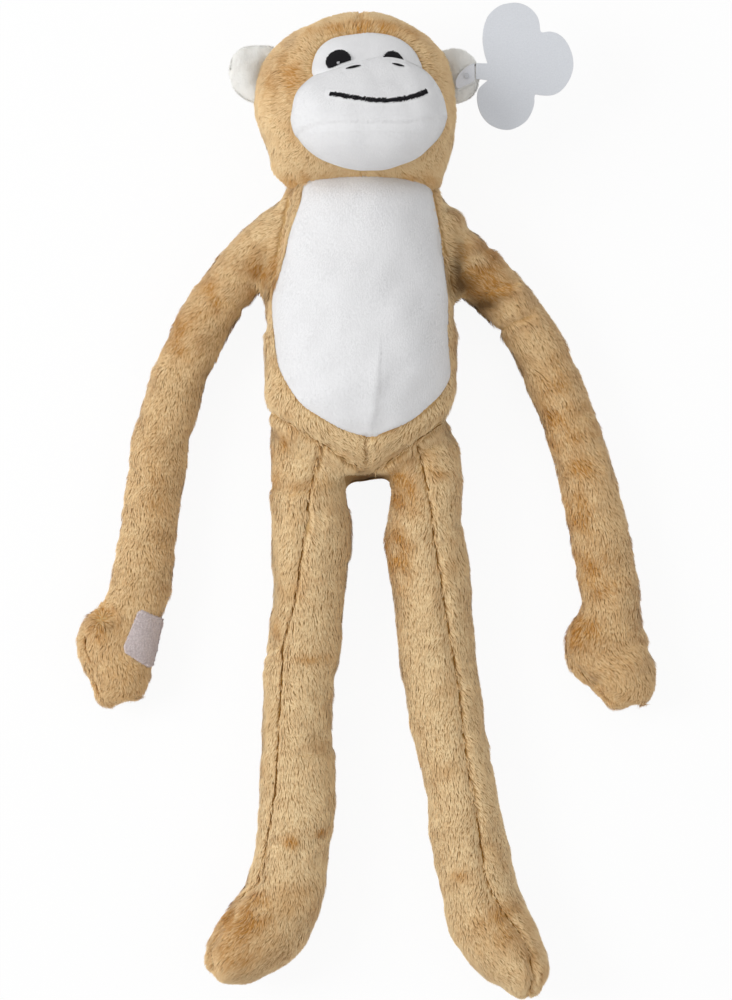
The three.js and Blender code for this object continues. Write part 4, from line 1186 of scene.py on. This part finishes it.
class PLUSH_OT_embroidery(Operator):
    """Satin-stitches the eyes, nostrils and smile"""
    bl_idname = "plush.embroidery"
    bl_label = "Embroidery"

    def execute(self, context):
        thick = context.scene.plush_sizes.thread / MM
        m = materials()
        mask, muzzle = (surface(bpy.data.objects[name]) for name in ("face_mask_skin", "muzzle_skin"))

        def embroidered(name, ground, starts, ends, rise, thread="thread"):
            bm = bmesh.new()
            stitches(bm, ground, starts, ends, thick, rise)
            return finished(name, bm, "head", m[thread])

        for seed, (side, (top, low)) in enumerate(EYES.items(), 5):
            rows = np.arange(top[0][0] + thick / 3, top[-1][0], thick * 0.6)
            jitter = np.random.default_rng(seed).uniform(-0.3, 0.3, (2, len(rows)))
            starts = np.c_[rows, np.interp(rows, *np.transpose(low)) + 0.5 * jitter[0]]
            ends = np.c_[rows, np.interp(rows, *np.transpose(top)) + jitter[1]]
            eye = embroidered(f"eye_stitches_{side}", mask, starts, ends, 1.25)
            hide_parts(f"eye_{side}")
        spark = np.array([(-13.0 + r, 207.6 + 0.15 * r) for r in np.arange(-0.6, 0.65, thick * 0.7)])
        light = embroidered("eye_highlight_stitches", mask, spark - (0, 0.7), spark + (0, 0.7), 1.7, "spark")
        for side, (a, b, wide) in NOSTRILS.items():
            t = np.arange(0, 1.01, thick * 0.5 / math.dist(a, b))
            line = np.asarray(a) + (np.asarray(b) - np.asarray(a)) * t[:, None]
            tall = wide * np.sin(math.pi * np.clip(t, 0.06, 0.94)) ** 0.6
            half = np.c_[tall * 0.2, tall]
            nostril = embroidered(f"nostril_stitches_{side}", muzzle, line - half, line + half, 0.8)
            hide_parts(f"nostril_{side}")
        path = curve(SMILE, 125)
        ahead, across = sides_of(path)
        across *= SMILE_WIDTH / 2
        jitter = np.random.default_rng(7).uniform(0.6, 1.3, (2, len(path), 1))
        slant = ahead * 0.15
        smile = embroidered("smile_stitches", muzzle, path - across * jitter[0] - slant,
                            path + across * jitter[1] + slant, 0.8)
        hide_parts("mouth")
        return {"FINISHED"}


class PLUSH_OT_ears(Operator):
    """Makes the round padded ears with their rim seam and soft pile"""
    bl_idname = "plush.ears"
    bl_label = "Ears"

    def execute(self, context):
        m = materials()
        fold = TURNS["tag_fold"]
        # The shadow of the strap on the ear, where no pile shows
        strap = [(fold.x + 1.1 * x, fold.y + 1.1 * y) for x, y in FLAP]
        for side, (x, y, wide, tall, rise) in EARS.items():
            out = -1 if side == "right" else 1
            bm = bmesh.new()
            ring = [(x + wide * math.cos(a), y + tall * math.sin(a)) for a in np.linspace(0, 2 * math.pi, 60, False)]
            pillow(bm, np.array(ring), (x, y), EAR_PLANE, lambda _, rise=rise: rise, 5.2, 0.8, 180, 56)
            ear = finished(f"ear_skin_{side}", bm, "head", m["cream"])
            points, normals = points_of(ear), normals_of(ear)
            # A soft dish where the ear meets the head, and a rim seam round the edge
            dish = spots(points, [(x - out * 5.5, y - 1, 4.5, 6.5, 2.6)]) * (normals[:, 2] > 0)
            rim = 0.12 * bell(points[:, 2] - EAR_PLANE, 0.8)
            crumple = 0.12 * rise * waves(points, 9, 96 + out) + 0.2 * waves(points, 4, 97)
            move_points(ear, points + normals * (crumple - dish - rim)[:, None])

            def flow(root, normal, root_of_ear=(x - out * 9, y)):
                return np.c_[root[:, :2] - root_of_ear, np.zeros(len(root))]

            def shown(root, normal, out=out):
                bare = inside(root, strap) & (normal[:, 2] > 0)
                return (out * (root[:, 0] - HEAD_MIDDLE) > 40) & ~bare

            pile = grown(f"ear_pile_{side}", ear, 15000, 2.6 * MM, 0.36 * MM, flow, "head", m["cream"], shown,
                         lift=1.3, seed=501 + (out > 0), clump=1.8, tidy=0.3)
            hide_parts(f"ear_front_{side}", f"ear_back_{side}")
        return {"FINISHED"}


class PLUSH_OT_tapes(Operator):
    """Sews the loop pad to the right palm and the hook pad to the hidden side of the left hand"""
    bl_idname = "plush.tapes"
    bl_label = "Hand tapes"

    def execute(self, context):
        tape = materials()["tape"]
        corners = np.array(LOOP_PAD, float)
        edges = zip(corners, np.roll(corners, -1, axis=0))
        outline = closed_curve([a + (b - a) * t for a, b in edges for t in np.linspace(0.1, 0.9, 9)], 90)

        def height(r, plan):
            return 1.9 - 1.6 * (r > 0.97) + 0.12 * bell(r - 0.93, 0.02)

        pad = patch("loop_tape", surface(bpy.data.objects["arm_skin_right"]), outline, corners.mean(axis=0), height,
                    26, 0.8, "arm_right", tape)
        fuzz = grown("loop_tape_nap", pad, 5200, 0.9 * MM, 0.3 * MM,
                     lambda r, n: np.c_[np.sin(r[:, 0] * 9), np.cos(r[:, 1] * 7), r[:, 0] * 0],
                     "arm_right", tape, lift=1.1, seed=601, clump=1.1, tidy=0.3)
        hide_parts("loop_pad")

        low, high = (Vector(v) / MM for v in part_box("hook_pad"))
        tree = surface(bpy.data.objects["arm_skin_left"])
        bm = bmesh.new()
        for v, u, t in zip(*unit_grid(bm, 14, 30)):
            aim = Vector((low.x - 6, low.y + (high.y - low.y) * t, 2.5 + 6 * u))
            hit, out = tree.ray_cast(aim, Vector((1, 0, 0.15)))[:2]
            v.co = hit + out * (0.9 if min(u, 1 - u, t, 1 - t) > 0.02 else 0.1) if hit else aim
        bmesh.ops.recalc_face_normals(bm, faces=bm.faces)
        facing(bm, Vector((-1, 0, 0)))
        hook = finished("hook_tape", bm, "arm_left", tape)
        hooks = grown("hook_tape_hooks", hook, 1500, 0.8 * MM, 0.2 * MM, combed(0, 0, -1.0), "arm_left", tape,
                      lift=1.8, seed=602, clump=1.0, tidy=0.3)
        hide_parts("hook_pad")
        return {"FINISHED"}


def sheet(outline, base):
    """A card cut along an outline: a capped circle drawn onto it and raised by the card's thickness."""
    bm = bmesh.new()
    ring = bmesh.ops.create_circle(bm, cap_ends=True, segments=len(outline), radius=1)["verts"]
    for v, (px, py) in zip(ring, outline):
        v.co = (px, py, base)
    raised = bmesh.ops.extrude_face_region(bm, geom=bm.faces[:])["geom"]
    bmesh.ops.translate(bm, vec=(0, 0, CARD_THICK), verts=[g for g in raised if isinstance(g, bmesh.types.BMVert)])
    bmesh.ops.recalc_face_normals(bm, faces=bm.faces)
    return bm


def bevel(bm, edges, offset, segments):
    bmesh.ops.bevel(bm, geom=edges, offset=offset, offset_type="OFFSET", segments=segments, profile=0.5, affect="EDGES",
                    material=-1)


class PLUSH_OT_tag(Operator):
    """Cuts the blank three-lobed card, its folded strap and finishes the pin"""
    bl_idname = "plush.tag"
    bl_label = "Hang tag"

    def execute(self, context):
        m = materials()
        fold = TURNS["tag_fold"]
        droop = math.radians(8)
        # Straight along the strap and smooth round the lobes
        bm = sheet([TAG[0], TAG[1], *curve(TAG[2:-2], 240), TAG[-2], TAG[-1]], -CARD_THICK / 2)
        rims = [e for e in bm.edges if len(e.link_faces) == 2 and e.calc_face_angle(0) > 1.2
                and abs(e.verts[0].co.z - e.verts[1].co.z) < 0.01]
        bevel(bm, rims, 0.14, 2)
        bmesh.ops.triangulate(bm, faces=[f for f in bm.faces if len(f.verts) > 4])
        for v in bm.verts:
            px, py, pz = v.co
            v.co = (fold.x + px * math.cos(droop) + pz * math.sin(droop), fold.y + py,
                    fold.z - px * math.sin(droop) + pz * math.cos(droop))
        card = finished("tag_card_face", bm, "tag", m["card"], smooth=False)
        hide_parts("hang_tag_card")

        bm = sheet([(fold.x + x, fold.y + y) for x, y in FLAP], fold.z - CARD_THICK / 2)
        free_end = [e for e in bm.edges if abs(e.verts[0].co.z - e.verts[1].co.z) > CARD_THICK / 2
                    and e.verts[0].co.x < fold.x - 7]
        bevel(bm, free_end, 0.6, 5)
        flap = finished("tag_strap_flap", bm, "head", m["fold"], smooth=False)
        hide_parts("hang_tag_flap")
        pin = frame["nodes"]["tag_pin"].data.materials
        pin.clear()
        pin.append(m["plastic"])
        return {"FINISHED"}


class PLUSH_OT_stage(Operator):
    """Sets the floor, the soft studio light and the camera above the toy"""
    bl_idname = "plush.stage"
    bl_label = "Stage"

    def execute(self, context):
        scene = context.scene
        bm = bmesh.new()
        bmesh.ops.create_grid(bm, x_segments=1, y_segments=1, size=6000)
        # White paper that glows to the camera, so that only a faint shadow of the toy shows on it
        material, tree, _ = new_material("white_floor")
        paper = add(tree, "ShaderNodeBsdfDiffuse", Color=(0.96, 0.96, 0.96, 1))
        glow = add(tree, "ShaderNodeEmission", Color=(1, 1, 1, 1), Strength=1.0)
        seen = maths(tree, "MULTIPLY", add(tree, "ShaderNodeLightPath").outputs["Is Camera Ray"], 0.92)
        mix = add(tree, "ShaderNodeMixShader", i0=seen, i1=paper.outputs[0], i2=glow.outputs[0])
        add(tree, "ShaderNodeOutputMaterial", Surface=mix.outputs[0])
        finished("floor", bm, material=material, smooth=False)

        world = bpy.data.worlds.new("studio")
        world.use_nodes = True
        scene.world = world
        sky = world.node_tree.nodes["Background"]
        sky.inputs["Color"].default_value = (1, 1, 1, 1)
        sky.inputs["Strength"].default_value = 0.545
        for name, (place, size, power) in LAMPS.items():
            lamp = bpy.data.lights.new(name, "AREA")
            lamp.shape, lamp.size, lamp.energy = "DISK", size, power
            obj = bpy.data.objects.new(name, lamp)
            obj.location = place
            obj.rotation_mode = "QUATERNION"
            obj.rotation_quaternion = (-Vector(place)).to_track_quat("-Z", "Y")
            scene.collection.objects.link(obj)

        # Straight above, so that half a millimetre at the limbs' height is one pixel of a 732 by 1000 picture
        camera = bpy.data.cameras.new("camera")
        rig = bpy.data.objects.new("camera", camera)
        rig.location = (0, 0, (CAMERA_DISTANCE + LIMB_HEIGHT) * MM)
        camera.sensor_fit = "AUTO"
        camera.sensor_width = SENSOR
        camera.lens = SENSOR * CAMERA_DISTANCE / PICTURE_HEIGHT
        scene.collection.objects.link(rig)
        scene.camera = rig
        scene.view_settings.view_transform = "Standard"
        return {"FINISHED"}


class PLUSH_PT_panel(Panel):
    """Sizes, colours and pieces of the plush monkey"""
    bl_idname = "PLUSH_PT_panel"
    bl_label = "Plush Monkey"
    bl_space_type = "VIEW_3D"
    bl_region_type = "UI"
    bl_category = "Plush Monkey"

    def draw(self, context):
        for group in (context.scene.plush_sizes, context.scene.plush_colours):
            for key in group.__annotations__:
                self.layout.prop(group, key)
        for piece in PIECES:
            self.layout.operator(piece.bl_idname)


PIECES = (PLUSH_OT_stage, PLUSH_OT_body, PLUSH_OT_belly, PLUSH_OT_head, PLUSH_OT_embroidery, PLUSH_OT_ears,
          PLUSH_OT_tapes, PLUSH_OT_tag)
CLASSES = (PlushSizes, PlushColours, *PIECES, PLUSH_PT_panel)


def register():
    for cls in CLASSES:
        bpy.utils.register_class(cls)
    bpy.types.Scene.plush_sizes = PointerProperty(type=PlushSizes)
    bpy.types.Scene.plush_colours = PointerProperty(type=PlushColours)


def unregister():
    del bpy.types.Scene.plush_sizes
    del bpy.types.Scene.plush_colours
    for cls in reversed(CLASSES):
        bpy.utils.unregister_class(cls)


def main():
    register()
    bpy.ops.plush.stage()
    bpy.ops.plush.body()
    bpy.ops.plush.belly()
    bpy.ops.plush.head()
    bpy.ops.plush.embroidery()
    bpy.ops.plush.ears()
    bpy.ops.plush.tapes()
    bpy.ops.plush.tag()


if __name__ == "__main__":
    main()
